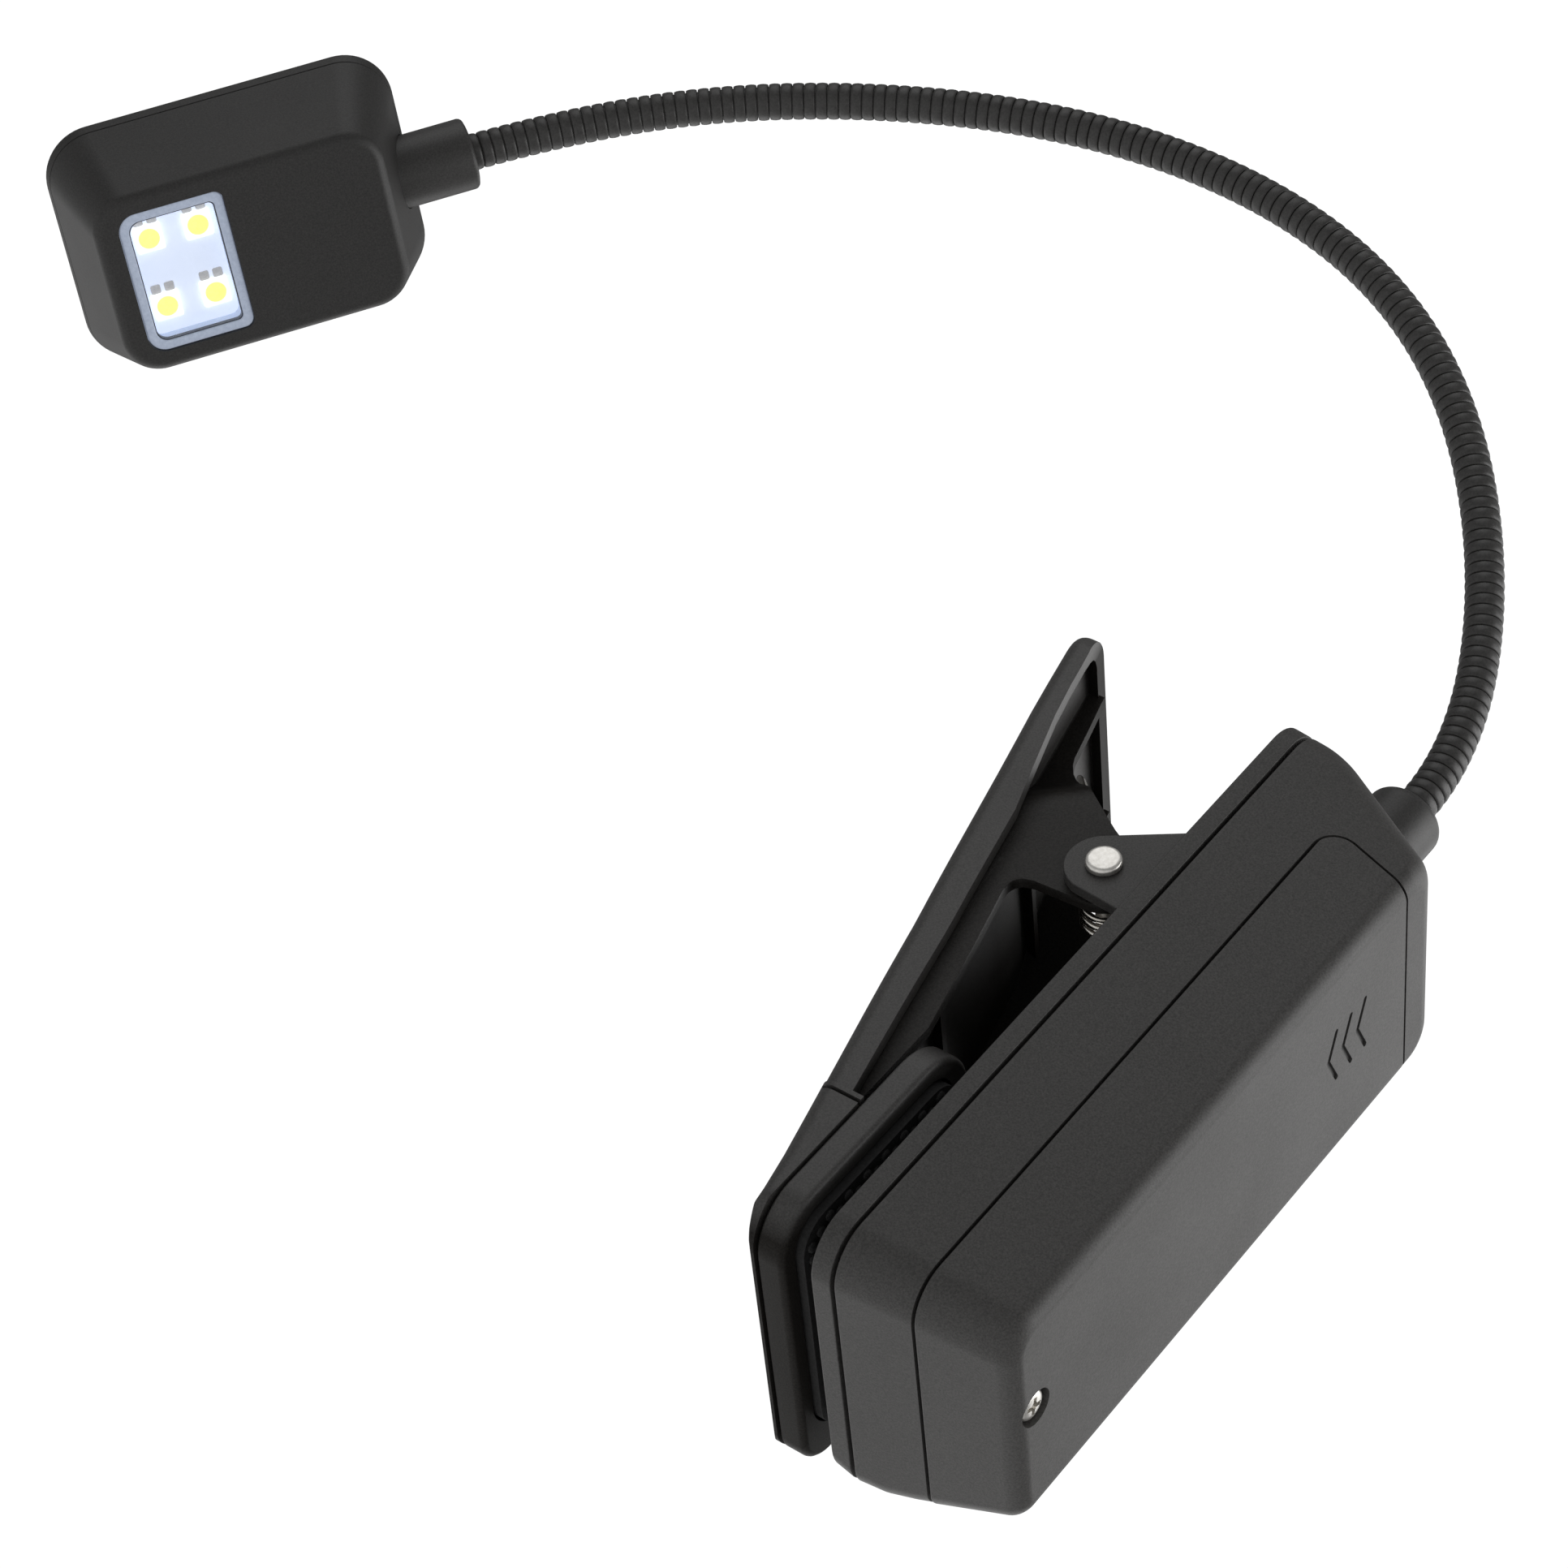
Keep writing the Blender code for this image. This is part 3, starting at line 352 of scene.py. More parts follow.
def box(low, high):
    outline = [(low[0], low[1]), (high[0], low[1]), (high[0], high[1]), (low[0], high[1])]
    return prism(outline, "Z", low[2], high[2])


def round_angles(sides):
    return [2 * math.pi * i / sides for i in range(sides)]


def rod(start, end, radius, sides=32):
    start, end = Vector(start), Vector(end)
    turn = (end - start).to_track_quat("Z", "Y").to_matrix()
    ring = [turn @ Vector((radius * math.cos(a), radius * math.sin(a), 0)) for a in round_angles(sides)]
    return loft([[start + p for p in ring], [end + p for p in ring]])


def turned(profile, place, sides=48):
    """A turned piece from (radius, height) pairs, about the local z axis of place."""
    rings = [[place @ (Vector((max(r, 0.001) * math.cos(a), max(r, 0.001) * math.sin(a), h)) * MM) / MM
              for a in round_angles(sides)] for r, h in profile]
    return loft(rings)


def washer(profile, place, sides=48):
    """A turned piece with a hole: its profile closes on itself."""
    rings = [[place @ (Vector((r * math.cos(a), r * math.sin(a), h)) * MM) / MM for a in round_angles(sides)]
             for r, h in profile]
    return loft(rings, closed=True)


def tube(points, radius, sides=12):
    """A round wire along points."""
    points = [Vector(p) for p in points]
    last = len(points) - 1
    ways = [(points[min(i + 1, last)] - points[max(i - 1, 0)]).normalized() for i in range(last + 1)]
    side = ways[0].orthogonal().normalized()
    rings = []
    for point, way in zip(points, ways):
        side = (side - way * side.dot(way)).normalized()
        up = way.cross(side)
        rings.append([point + radius * (side * math.cos(a) + up * math.sin(a)) for a in round_angles(sides)])
    return loft(rings)


def moved(mesh, matrix):
    mesh.transform(matrix)
    return mesh


def joined(*meshes):
    """One mesh that holds several, unmerged."""
    bm = bmesh.new()
    for mesh in meshes:
        bm.from_mesh(mesh)
    return to_mesh(bm, "joined")


def shaped(mesh, cuts=(), adds=(), limit=None):
    """mesh with other meshes added, cut to a limit, and cut away, in that order."""
    target = holder_of(mesh)
    others = []
    steps = [(m, "UNION") for m in adds] + ([(limit, "INTERSECT")] if limit else [])
    for other, operation in steps + [(m, "DIFFERENCE") for m in cuts]:
        tool = holder_of(other)
        others.append(tool)
        change = target.modifiers.new(operation, "BOOLEAN")
        change.operation = operation
        change.object = tool
    bpy.context.view_layer.update()
    result = bpy.data.meshes.new_from_object(target.evaluated_get(bpy.context.evaluated_depsgraph_get()))
    for thing in others + [target]:
        bpy.data.objects.remove(thing, do_unlink=True)
    return result


def piece(name, mesh, body, material, replaces=(), bevel=0.0, angle=35.0):
    """A shown piece that rides on a body."""
    mesh.materials.clear()
    mesh.materials.append(material)
    mesh.shade_smooth()
    if not bevel:
        mesh.set_sharp_from_angle(angle=math.radians(angle))
    thing = holder_of(mesh)
    thing.name = name
    if bevel:
        edge = thing.modifiers.new("edges", "BEVEL")
        edge.width = bevel * MM
        edge.segments = 2
        edge.limit_method = "ANGLE"
        edge.angle_limit = math.radians(angle)
        edge.miter_outer = "MITER_ARC"
        thing.modifiers.new("normals", "WEIGHTED_NORMAL").keep_sharp = False
    if replaces:
        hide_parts(*replaces)
    if body:
        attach(thing, body)
    return thing


def arc(centre, radius, start, end, steps):
    """Points on a circle as (a, b) pairs, between two angles in degrees."""
    angles = [math.radians(start + (end - start) * i / steps) for i in range(steps + 1)]
    return [(centre[0] + radius * math.cos(a), centre[1] + radius * math.sin(a)) for a in angles]


def rounded(low, high, radius, steps=12):
    """A rounded rectangle as (a, b) pairs, anticlockwise from its high corner."""
    radii = radius if isinstance(radius, (tuple, list)) else (radius,) * 4
    corners = [(high[0], high[1], 0, -1, -1), (low[0], high[1], 90, 1, -1), (low[0], low[1], 180, 1, 1),
               (high[0], low[1], 270, -1, 1)]
    points = []
    for (a, b, start, da, db), r in zip(corners, radii):
        points += arc((a + da * r, b + db * r), r, start, start + 90, steps)
    return points


def along(origin, z_axis, x_axis=None):
    """A matrix at origin whose local z runs along z_axis."""
    z_axis = Vector(z_axis).normalized()
    x_axis = Vector(x_axis) if x_axis is not None else z_axis.orthogonal()
    x_axis = (x_axis - z_axis * x_axis.dot(z_axis)).normalized()
    turn = Matrix((x_axis, z_axis.cross(x_axis), z_axis)).transposed().to_4x4()
    return Matrix.Translation(Vector(origin) * MM) @ turn


# ---------------------------------------------------------------- battery box

def table(x, pairs):
    """A value read between (x, value) pairs."""
    return float(np.interp(x, *zip(*pairs)))


def smooth(share):
    """An S-shaped step from 0 to 1, held level outside."""
    share = min(1.0, max(0.0, share))
    return share * share * (3 - 2 * share)


def slant_drop(x):
    """How far along its slope the top has come: it eases out of the level part."""
    past = x - (SLANT_START_X - SLANT_EASE)
    if past < 0:
        return 0.0
    if past < 2 * SLANT_EASE:
        return past * past / (4 * SLANT_EASE)
    return x - SLANT_START_X


def box_ring(x, inset=0.0, steps=12):
    """The box's outline at x: it tapers towards its cover, and its far side swells towards its low end."""
    rise = x - PLATE_X
    near = HALF_WIDTH - SIDE_TAPER * rise - inset
    far = near + FAR_EXTRA - FAR_EXTRA_TAPER * rise
    low = LOW_Z + LOW_TAPER * rise + inset
    high = TOP_Z - SLANT_SLOPE * slant_drop(x) - inset * 1.1
    radii = [max(0.8, corner - 0.05 * rise - inset) for corner in CORNERS]
    radii.append(max(0.8, table(x, FAR_LOW_CORNER) - inset))
    bulge = table(x, FAR_BULGE)
    ring = []
    for y, z in rounded((-near, low), (far, high), radii, steps):
        swell = bulge * smooth((BULGE_Z[1] - z) / (BULGE_Z[1] - BULGE_Z[0])) * max(0.0, y) / far
        shift = TOP_SHIFT * max(0.0, z - SHIFT_Z[0]) / (SHIFT_Z[1] - SHIFT_Z[0])
        ring.append((x, y + swell - shift, z))
    return ring


def box_block(low_x, high_x, low_edge, high_edge, inset=0.0):
    """A slice of the box whose two rims are rounded by low_edge and high_edge."""
    rings = []
    for i in range(4, -1, -1):
        a = math.pi / 8 * i
        rings.append(box_ring(low_x + low_edge * (1 - math.sin(a)), inset + low_edge * (1 - math.cos(a))))
    middle = [x for x in np.linspace(5.5, 13.5, 11) if low_x + low_edge < x < high_x - high_edge]
    rings += [box_ring(float(x), inset) for x in middle]
    count = 10 if high_edge > 1 else 4
    for i in range(count + 1):
        a = math.pi / 2 / count * i
        x = high_x - high_edge * (1 - math.sin(a))
        rings.append(box_ring(x, inset + high_edge * (1 - math.cos(a))))
    return loft(rings)


def box_hollow(low_x, high_x, top):
    """The inside of the box between two x, under a level top."""
    return loft([[(x, y, min(z, top)) for x, y, z in box_ring(x, WALL)] for x in (low_x, high_x)])


def door_region(gap):
    """The space of the battery door: its top is an arc that runs into a slope."""
    end = 90 - math.degrees(math.atan(DOOR_SLOPE))
    outline = [(DOOR_SEAM_X + gap, -40.0)]
    outline += arc((DOOR_SEAM_X + DOOR_CORNER, DOOR_CORNER_Z), DOOR_CORNER - gap, 180, end, 18)
    last = outline[-1]
    outline += [(45.0, last[1] - (45.0 - last[0]) * DOOR_SLOPE), (45.0, -40.0)]
    return prism(outline, "Y", -45, 45)


def pin_bore():
    return rod((PIN.x, -40, PIN.z), (PIN.x, 40, PIN.z), PIN_RADIUS + PIN_CLEARANCE)


def build_box():
    plate = box_block(PLATE_X, PLATE_SEAM_X - SEAM_HALF, 0.35, 0.15)
    outline = [(PLATE_X + 1.5, 68.8), (PLATE_X + 1.5, 50.2)]
    outline += arc((PIN.x, PIN.z), EAR_RADIUS, -106, -236, 28)
    ears = [prism(outline, "Y", *sorted((side * EAR_Y[0], side * EAR_Y[1]))) for side in (-1, 1)]
    cuts = [pin_bore()]
    for z in BOSS_Z:
        for y in (-BOSS_Y, BOSS_Y):
            cuts += [rod((0, y, z), (8, y, z), 1.45), rod((0, y, z), (3.2, y, z), 2.9)]
    plate = shaped(plate, cuts, ears)
    piece("plate_shell", plate, "box", BOX_PLASTIC, ["back_plate"], bevel=0.18)

    housing = box_block(PLATE_SEAM_X + SEAM_HALF, COVER_X, 0.3, 2.5)
    bay = box_hollow(3.0, 13.7, 77.0)
    cuts = [door_region(0.0), bay, box((15.3, -18.3, -14.2), (DOOR_SEAM_X + 1, 18.3, DOOR_HOLLOW_TOP)),
            rod((NECK_BASE.x, 0, 84), (NECK_BASE.x, 0, 97), COLLAR_RADIUS + 0.1, 64)]
    housing = shaped(housing, cuts)
    inner = [box((14.5, -17.0, z), (25.0, 17.0, z + 1.6)) for z in (-11.4, 42.0)]
    inner.append(rod((14.5, *DOOR_SCREW), (24.4, *DOOR_SCREW), 2.7))
    housing = shaped(housing, [rod((16.0, *DOOR_SCREW), (30, *DOOR_SCREW), 1.75)], inner)
    piece("housing_shell", housing, "box", BOX_PLASTIC, ["mid_housing"], bevel=0.12)


def groove(start, end, half_width):
    """A shallow rounded cut in the cover's face between two (y, z) points."""
    way = Vector((end[0] - start[0], end[1] - start[1])).normalized()
    facing = math.degrees(math.atan2(way.y, way.x))
    outline = arc(end, half_width, facing - 90, facing + 90, 8)
    outline += arc(start, half_width, facing + 90, facing + 270, 8)
    return prism(outline, "X", COVER_X - 0.45, COVER_X + 1.0)


def build_door():
    block = box_block(DOOR_SEAM_X + 0.4, COVER_X, 0.3, 2.5, inset=-0.08)
    hollow = box_hollow(DOOR_SEAM_X - 2, COVER_X - WALL, DOOR_HOLLOW_TOP)
    door = shaped(block, [hollow], limit=door_region(0.4))
    cuts = [rod((DOOR_SEAM_X, *DOOR_SCREW), (40, *DOOR_SCREW), 1.5),
            rod((27.2, *DOOR_SCREW), (40, *DOOR_SCREW), 2.85, 48)]
    for level in MARK_LEVELS:
        for side in (-1, 1):
            cuts.append(groove((MARK_Y + side * 4.6, level + 2.0), (MARK_Y, level), 0.38))
    boss = rod((25.2, *DOOR_SCREW), (28.6, *DOOR_SCREW), 4.0)
    door = shaped(door, cuts, [boss])
    piece("door_shell", door, "door", DOOR_PLASTIC, ["battery_door"], bevel=0.12)


def studded(low_x, base_x, face_x, half, z_range, corner):
    """A rubber pad: a slab with rows of small round studs on its face."""
    outline = rounded((-half, z_range[0]), (half, z_range[1]), corner)
    parts = [prism(outline, "X", low_x, base_x)]
    step_z = STUD_PITCH * math.sqrt(3) / 2
    rows = int((z_range[1] - z_range[0] - 2.0) / step_z)
    for row in range(rows + 1):
        z = (z_range[0] + z_range[1]) / 2 + (row - rows / 2) * step_z
        count = int((2 * half - 2.6) / STUD_PITCH)
        for column in range(count + 1):
            y = (column - count / 2 + (0.25 if row % 2 else -0.25)) * STUD_PITCH
            inside_y, inside_z = half - abs(y), (z_range[1] - z_range[0]) / 2 - abs(z - sum(z_range) / 2)
            from_centre = math.hypot(max(0, corner - inside_y), max(0, corner - inside_z))
            if inside_y < 1.2 or inside_z < 1.2 or from_centre > corner - 1.1:
                continue
            sign = 1 if face_x > base_x else -1
            rings = [(0.85, base_x - sign * 0.05), (0.8, base_x + sign * STUD_HEIGHT * 0.5),
                     (0.62, face_x - sign * 0.08), (0.42, face_x)]
            parts.append(loft([[(x, y + r * math.cos(a), z + r * math.sin(a)) for a in round_angles(10)]
                               for r, x in rings]))
    return joined(*parts)


def screw_mesh(head_at, direction, head_radius, head_height, shank_radius, shank_length):
    place = along(head_at, direction, (0, 0.3, 1))
    profile = [(0, 0.02), (head_radius * 0.5, 0), (head_radius * 0.72, -0.08), (head_radius * 0.88, -0.25),
               (head_radius * 0.97, -0.5), (head_radius, -0.8), (head_radius, -head_height),
               (shank_radius, -head_height - 0.02), (shank_radius, -head_height - shank_length + 1.0),
               (0, -head_height - shank_length)]
    cuts = []
    for turn in (0, 90):
        slot = box((-head_radius * 0.58, -0.34, -0.9), (head_radius * 0.58, 0.34, 0.6))
        cuts.append(moved(slot, place @ Matrix.Rotation(math.radians(turn), 4, "Z")))
    cuts.append(moved(rod((0, 0, 0.6), (0, 0, -1.0), 0.75, 6), place))
    return shaped(turned(profile, place), cuts)


# ---------------------------------------------------------------- clip lever

def lever_back(z):
    """The lever's outer face: two slopes that meet in a soft bend, and a crown towards the tip."""
    x, bend = LEVER_BEND
    above = x - (z - bend) * LEVER_SLOPE_ABOVE
    below = x + (bend - z) * LEVER_SLOPE_BELOW
    ease = max(0.0, 1 - abs(z - bend) / LEVER_EASE)
    return (above if z > bend else below) + 0.2 * ease * ease - table(z, LEVER_CROWN)


def lever_front(z):
    return lever_back(z) + table(z, LEVER_DEPTH)


def lever_near(z):
    return LEVER_NEAR - table(z, LEVER_FLARE)


def lever_ring(z, back, front, near, far, radius, steps=8):
    """The lever's outline at z: open towards the box, with its two back corners rounded."""
    points = [(front, far, z), (back + radius, far, z)]
    points += [(a, b, z) for a, b in arc((back + radius, far - radius), radius, 90, 180, steps)][1:]
    points += [(a, b, z) for a, b in arc((back + radius, near + radius), radius, 180, 270, steps)]
    return points + [(front, near, z)]


def cheek(side):
    """A side plate of the lever: it carries the pin, turns inwards above it, and ends as a rib at the tip."""
    stretches = ((3.0, 46.0, 13), (47.0, 52.0, 11), (52.5, 62.0, 16), (63.0, 92.2, 22))
    rings = []
    for z in [float(z) for low, high, count in stretches for z in np.linspace(low, high, count)]:
        back, front = lever_back(z) + 1.0, table(z, CHEEK_FRONT)
        if abs(z - PIN.z) < EAR_RADIUS - 0.1:
            front = max(front, PIN.x + math.sqrt((EAR_RADIUS - 0.1) ** 2 - (z - PIN.z) ** 2))
        outer, inner = [], []
        for x in np.linspace(back, front, 12):
            middle = CHEEK_Y - CHEEK_TURN_IN * smooth((z - 60.0 - 0.9 * (float(x) + 24.0)) / 18.0)
            outer.append((float(x), side * (middle + CHEEK_HALF), z))
            inner.append((float(x), side * (middle - CHEEK_HALF), z))
        rings.append(outer + inner[::-1])
    return loft(rings)


def build_lever():
    shade_hollow(LEVER_PLASTIC)
    seam = HOLDER_X[0] - 0.28
    far = LEVER_FAR
    foot = [(LEVER_LOW_Z, 0.25, 0.3), (LEVER_LOW_Z + 0.3, 0.08, 0.5), (LEVER_LOW_Z + 0.9, 0.0, 0.7),
            (-17.0, 0.0, 1.1), (-14.0, 0.0, 1.8), (-8.0, 0.0, 2.5), (0.0, 0.0, 2.6), (4.6, 0.0, 2.6)]
    rings = [lever_ring(z, lever_back(z) + set_in, seam, LEVER_LOW_NEAR, LEVER_LOW_FAR, radius)
             for z, set_in, radius in foot]
    rings += [lever_ring(z, lever_back(z), lever_front(z), lever_near(z), far, 2.6)
              for z in [4.7] + list(range(10, 62, 3)) + [64, 70, 76, 82, 86]]
    for i in range(13):
        angle = math.pi / 24 * i
        z = LEVER_TIP_Z - TIP_CORNER * (1 - math.sin(angle))
        inset = TIP_CORNER * (1 - math.cos(angle))
        over = max(0.0, (z - LEVER_TIP_Z + TIP_EDGE) / TIP_EDGE)
        set_in = TIP_EDGE * (1 - math.sqrt(1 - over * over * 0.99))
        near, beyond = lever_near(z) + inset, far - inset
        rings.append(lever_ring(z, lever_back(z) + set_in, lever_front(z), near, beyond, 2.6 - 0.45 * set_in))
    outline = rounded((LEVER_LOW_NEAR - 0.9, LEVER_LOW_Z - 0.01), (LEVER_LOW_FAR + 0.01, LEVER_TIP_Z + 1.0),
                      (0.1, 0.1, 8.2, 5.4), 20)
    lever = shaped(loft(rings), limit=prism(outline, "X", -60, 10))

    def hollow_ring(z, extra=0.0):
        near, beyond = lever_near(z) + LEVER_WALL + extra, far - LEVER_WALL - extra
        return lever_ring(z, lever_back(z) + LEVER_WALL, lever_back(z) + 20, near, beyond, 1.4)

    hollow = [hollow_ring(z) for z in [4.2] + list(range(8, 62, 3)) + [64, 70, 76, 82, 87]]
    hollow += [hollow_ring(z, extra) for z, extra in ((89.0, 0.3), (90.4, 1.0), (91.2, 2.0), (91.7, 3.6))]
    notch = box((-30, LEVER_LOW_NEAR - 2, 3.3), (0, LEVER_NEAR + 0.9, 3.9))
    lever = shaped(lever, [loft(hollow), notch])
    adds = [cheek(side) for side in (-1, 1)]
    for side in (-1, 1):
        ledge = [(lever_back(z) + 1.0, z) for z in (61.0, 40.0, 20.0, 3.0)]
        ledge += [(-9.4, 3.0), (-13.6, 24.0), (-16.7, 38.4), (-18.6, 48.3), (-20.3, 57.0)]
        adds.append(prism(ledge, "Y", *sorted((side * 20.2, side * 20.62))))
    for z in (34.0, 66.0):
        web = [(lever_back(z) + 1.0, z), (lever_back(z) + 3.6, z), (lever_back(z + 1.3) + 3.6, z + 1.3),
               (lever_back(z + 1.3) + 1.0, z + 1.3)]
        adds.append(prism(web, "Y", -19.0, 19.0))
    lever = shaped(shaped(lever, adds=adds), [pin_bore()])
    piece("lever_shell", lever, "lever", LEVER_PLASTIC, ["clip_lever"], bevel=0.16)


def build_holder():
    outline = rounded((-23.4, -19.7), (26.2, 21.0), (9.0, 9.0, 7.5, 5.2))
    rings = []
    for x, inset in ((HOLDER_X[0], 0.5), (HOLDER_X[0] + 0.2, 0.15), (HOLDER_X[0] + 0.5, 0.0),
                     (HOLDER_X[1] - 1.0, 0.0), (HOLDER_X[1] - 0.6, 0.1), (HOLDER_X[1] - 0.25, 0.35),
                     (HOLDER_X[1], 0.8)):
        share_y, share_z = 1 - inset / 24.0, 1 - inset / 20.0
        rings.append([(x, 0.6 + (y - 0.6) * share_y, 1.0 + (z - 1.0) * share_z) for y, z in outline])
    pocket = prism(rounded((-PAD_HALF - 0.3, PAD_Z[0] - 0.1), (PAD_HALF + 0.3, PAD_Z[1] + 0.3), 5.5), "X",
                   HOLDER_X[1] - 1.6, 5)
    holder = shaped(loft(rings), [pocket])
    piece("holder_shell", holder, "lever", LEVER_PLASTIC, ["pad_holder"], bevel=0.12)


def build_clip_hardware():
    near = -EAR_Y[1] - 0.3
    profile = [(0, 0.95), (1.9, 0.95), (2.3, 0.88), (2.48, 0.72), (2.58, 0.5), (2.6, 0.2), (2.6, 0.0),
               (PIN_RADIUS, 0), (PIN_RADIUS, near * 2 - 1.2), (0, near * 2 - 1.2)]
    place = along((PIN.x, near, PIN.z), (0, -1, 0))
    piece("pin", turned(profile, place, 64), "box", NICKEL, ["pivot_pin"])
    steps, leave, coil_y = 28, 46.5, (16.5, 11.3)
    half = [(0.7, coil_y[0], 38.0), (PIN.x + COIL_RADIUS + 0.3, coil_y[0], 48.0)]
    count = COIL_TURNS * steps + 4
    for i in range(count + 1):
        share = i / count
        angle = math.radians((COIL_TURNS * 360 + leave) * share)
        half.append((PIN.x + COIL_RADIUS * math.cos(angle), coil_y[0] - (coil_y[0] - coil_y[1]) * share,
                     PIN.z + COIL_RADIUS * math.sin(angle)))
    sides = [tube([(x, side * y, z) for x, y, z in half], WIRE_RADIUS) for side in (-1, 1)]
    piece("spring", joined(*sides), "box", SPRING_STEEL, ["torsion_spring"])
    half = [half[-1], (-15.5, 9.8, 70.5), (-24.0, 8.0, 78.6), (-26.0, 7.4, 80.5), (-27.2, 6.4, 81.6),
            (-27.8, 5.0, 82.2), (-28.1, 3.0, 82.5), (-28.2, 1.2, 82.6)]
    path = half + [(x, -y, z) for x, y, z in reversed(half)]
    piece("spring_loop", tube(path, WIRE_RADIUS), "lever", SPRING_STEEL)


# ---------------------------------------------------------------- gooseneck

def neck_curve():
    """A smooth curve through the neck's points, with its tangents and its lengths so far."""
    knots = np.array([NECK_BASE[:], *NECK_POINTS, NECK_END[:]])
    count = len(knots)
    speed = 260.0 / (count - 1)
    system = np.zeros((count, count))
    right = np.zeros((count, 3))
    system[0, 0] = system[-1, -1] = 1.0
    right[0] = np.array((0.0, 0.0, 1.0)) * speed
    right[-1] = np.array(REACH[:]) * speed
    for i in range(1, count - 1):
        system[i, i - 1:i + 2] = (1.0, 4.0, 1.0)
        right[i] = 3.0 * (knots[i + 1] - knots[i - 1])
    slopes = np.linalg.solve(system, right)
    points = []
    for i in range(count - 1):
        for t in np.linspace(0, 1, 80, endpoint=False):
            points.append((2 * t**3 - 3 * t**2 + 1) * knots[i] + (t**3 - 2 * t**2 + t) * slopes[i]
                          + (3 * t**2 - 2 * t**3) * knots[i + 1] + (t**3 - t**2) * slopes[i + 1])
    points.append(knots[-1])
    points = np.array(points)
    lengths = np.concatenate(([0.0], np.cumsum(np.linalg.norm(np.diff(points, axis=0), axis=1))))
    return points, np.gradient(points, axis=0), lengths


NECK = neck_curve()
NECK_LENGTH = float(NECK[2][-1])
LINK = NECK_LENGTH / (NECK_LINKS - 1)


def neck_at(length):
    """The point and direction of the neck's middle line at a length, going straight on past its ends."""
    points, tangents, lengths = NECK
    inside = min(max(length, 0.0), NECK_LENGTH)
    where = Vector([float(np.interp(inside, lengths, points[:, k])) for k in range(3)])
    way = Vector([float(np.interp(inside, lengths, tangents[:, k])) for k in range(3)]).normalized()
    return where + way * (length - inside), way


def neck_section(length, radius, sides=28):
    where, way = neck_at(length)
    side = Vector((0, 1, 0)).cross(way).normalized()
    up = way.cross(side)
    return [where + radius * (side * math.cos(a) + up * math.sin(a)) for a in round_angles(sides)]


def build_neck():
    """Wound rings with narrow grooves, in one piece for each stretch of the neck; each follows the neck's
    curve.
    """
    profile = [(0.0, -GROOVE_DEPTH), (0.11, -GROOVE_DEPTH), (0.13, -0.13), (0.24, -0.03), (0.52, 0.05),
               (0.99, 0.09), (1.46, 0.05), (1.76, -0.03), (1.87, -0.13)]
    start, finish = -NECK_IN_BOX, NECK_LENGTH + NECK_IN_HEAD
    total = int(round((finish - start) / RING_PITCH))
    pitch = (finish - start) / total
    bounds = [start] + [LINK * k for k in range(1, NECK_LINKS - 1)] + [finish]
    marks = [int(round((b - start) / pitch)) for b in bounds]
    for k in range(NECK_LINKS - 1):
        rings = []
        for number in range(marks[k], marks[k + 1]):
            rings += [neck_section(start + (number + share / RING_PITCH) * pitch, NECK_RADIUS + rise)
                      for share, rise in profile]
        rings.append(neck_section(start + marks[k + 1] * pitch, NECK_RADIUS - GROOVE_DEPTH))
        nodes = ["neck_%d" % (k + 1)] + (["neck_%d" % NECK_LINKS] if k == NECK_LINKS - 2 else [])
        name = "neck_rings_%d" % (k + 1)
        thing = piece(name, loft(rings), None, NECK_COATING, nodes, angle=50)
        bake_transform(thing)


def build_collars():
    low, high = 86.0, NECK_BASE.z - 2.0
    profile = [(NECK_RADIUS + 0.15, high - 0.5), (NECK_RADIUS + 0.35, high - 0.05),
               (COLLAR_RADIUS - 2.0, high)]
    profile += [(COLLAR_RADIUS - 1.9 + 1.9 * math.sin(a), high - 1.9 + 1.9 * math.cos(a))
                for a in (math.pi / 16 * i for i in range(1, 9))]
    profile += [(COLLAR_RADIUS, low), (NECK_RADIUS + 0.15, low)]
    collar = washer(profile, along((NECK_BASE.x, 0, 0), (0, 0, 1)), 72)
    piece("box_collar_shell", collar, "box", COLLAR_PLASTIC, ["box_collar"])
    length = 18.6
    profile = [(NECK_RADIUS + 0.15, length), (COLLAR_RADIUS, length), (COLLAR_RADIUS, 0.7),
               (COLLAR_RADIUS - 0.12, 0.35), (COLLAR_RADIUS - 0.35, 0.1), (COLLAR_RADIUS - 0.7, 0),
               (NECK_RADIUS + 0.4, 0), (NECK_RADIUS + 0.15, 0.4)]
    start = HEAD @ (Vector((-FACE_HALF[0] - 15.9, 0, COLLAR_LEVEL)) * MM) / MM
    collar = washer(profile, along(start, REACH), 72)
    piece("head_collar_shell", collar, "head", COLLAR_PLASTIC, ["head_collar"])


# ---------------------------------------------------------------- head

HEAD = along(HEAD_ORIGIN, FACE, REACH)


def head_ring(depth, inset=0.0, steps=14):
    """The head's outline at a depth behind its face, in the head's own frame."""
    neck_end = -FACE_HALF[0] - TAPER_NECK * depth + inset
    tip_end = FACE_HALF[0] + TAPER_TIP * depth - inset
    half_y = FACE_HALF[1] + TAPER_SIDE * depth - inset
    corner = max(0.8, HEAD_CORNER + 0.12 * depth - inset)
    return [(x, y, -depth) for x, y in rounded((neck_end, -half_y), (tip_end, half_y), corner, steps)]


def in_head(mesh):
    return moved(mesh, HEAD)


def collar_bore():
    return rod((-44, 0, COLLAR_LEVEL), (-20, 0, COLLAR_LEVEL), COLLAR_RADIUS + 0.12, 72)


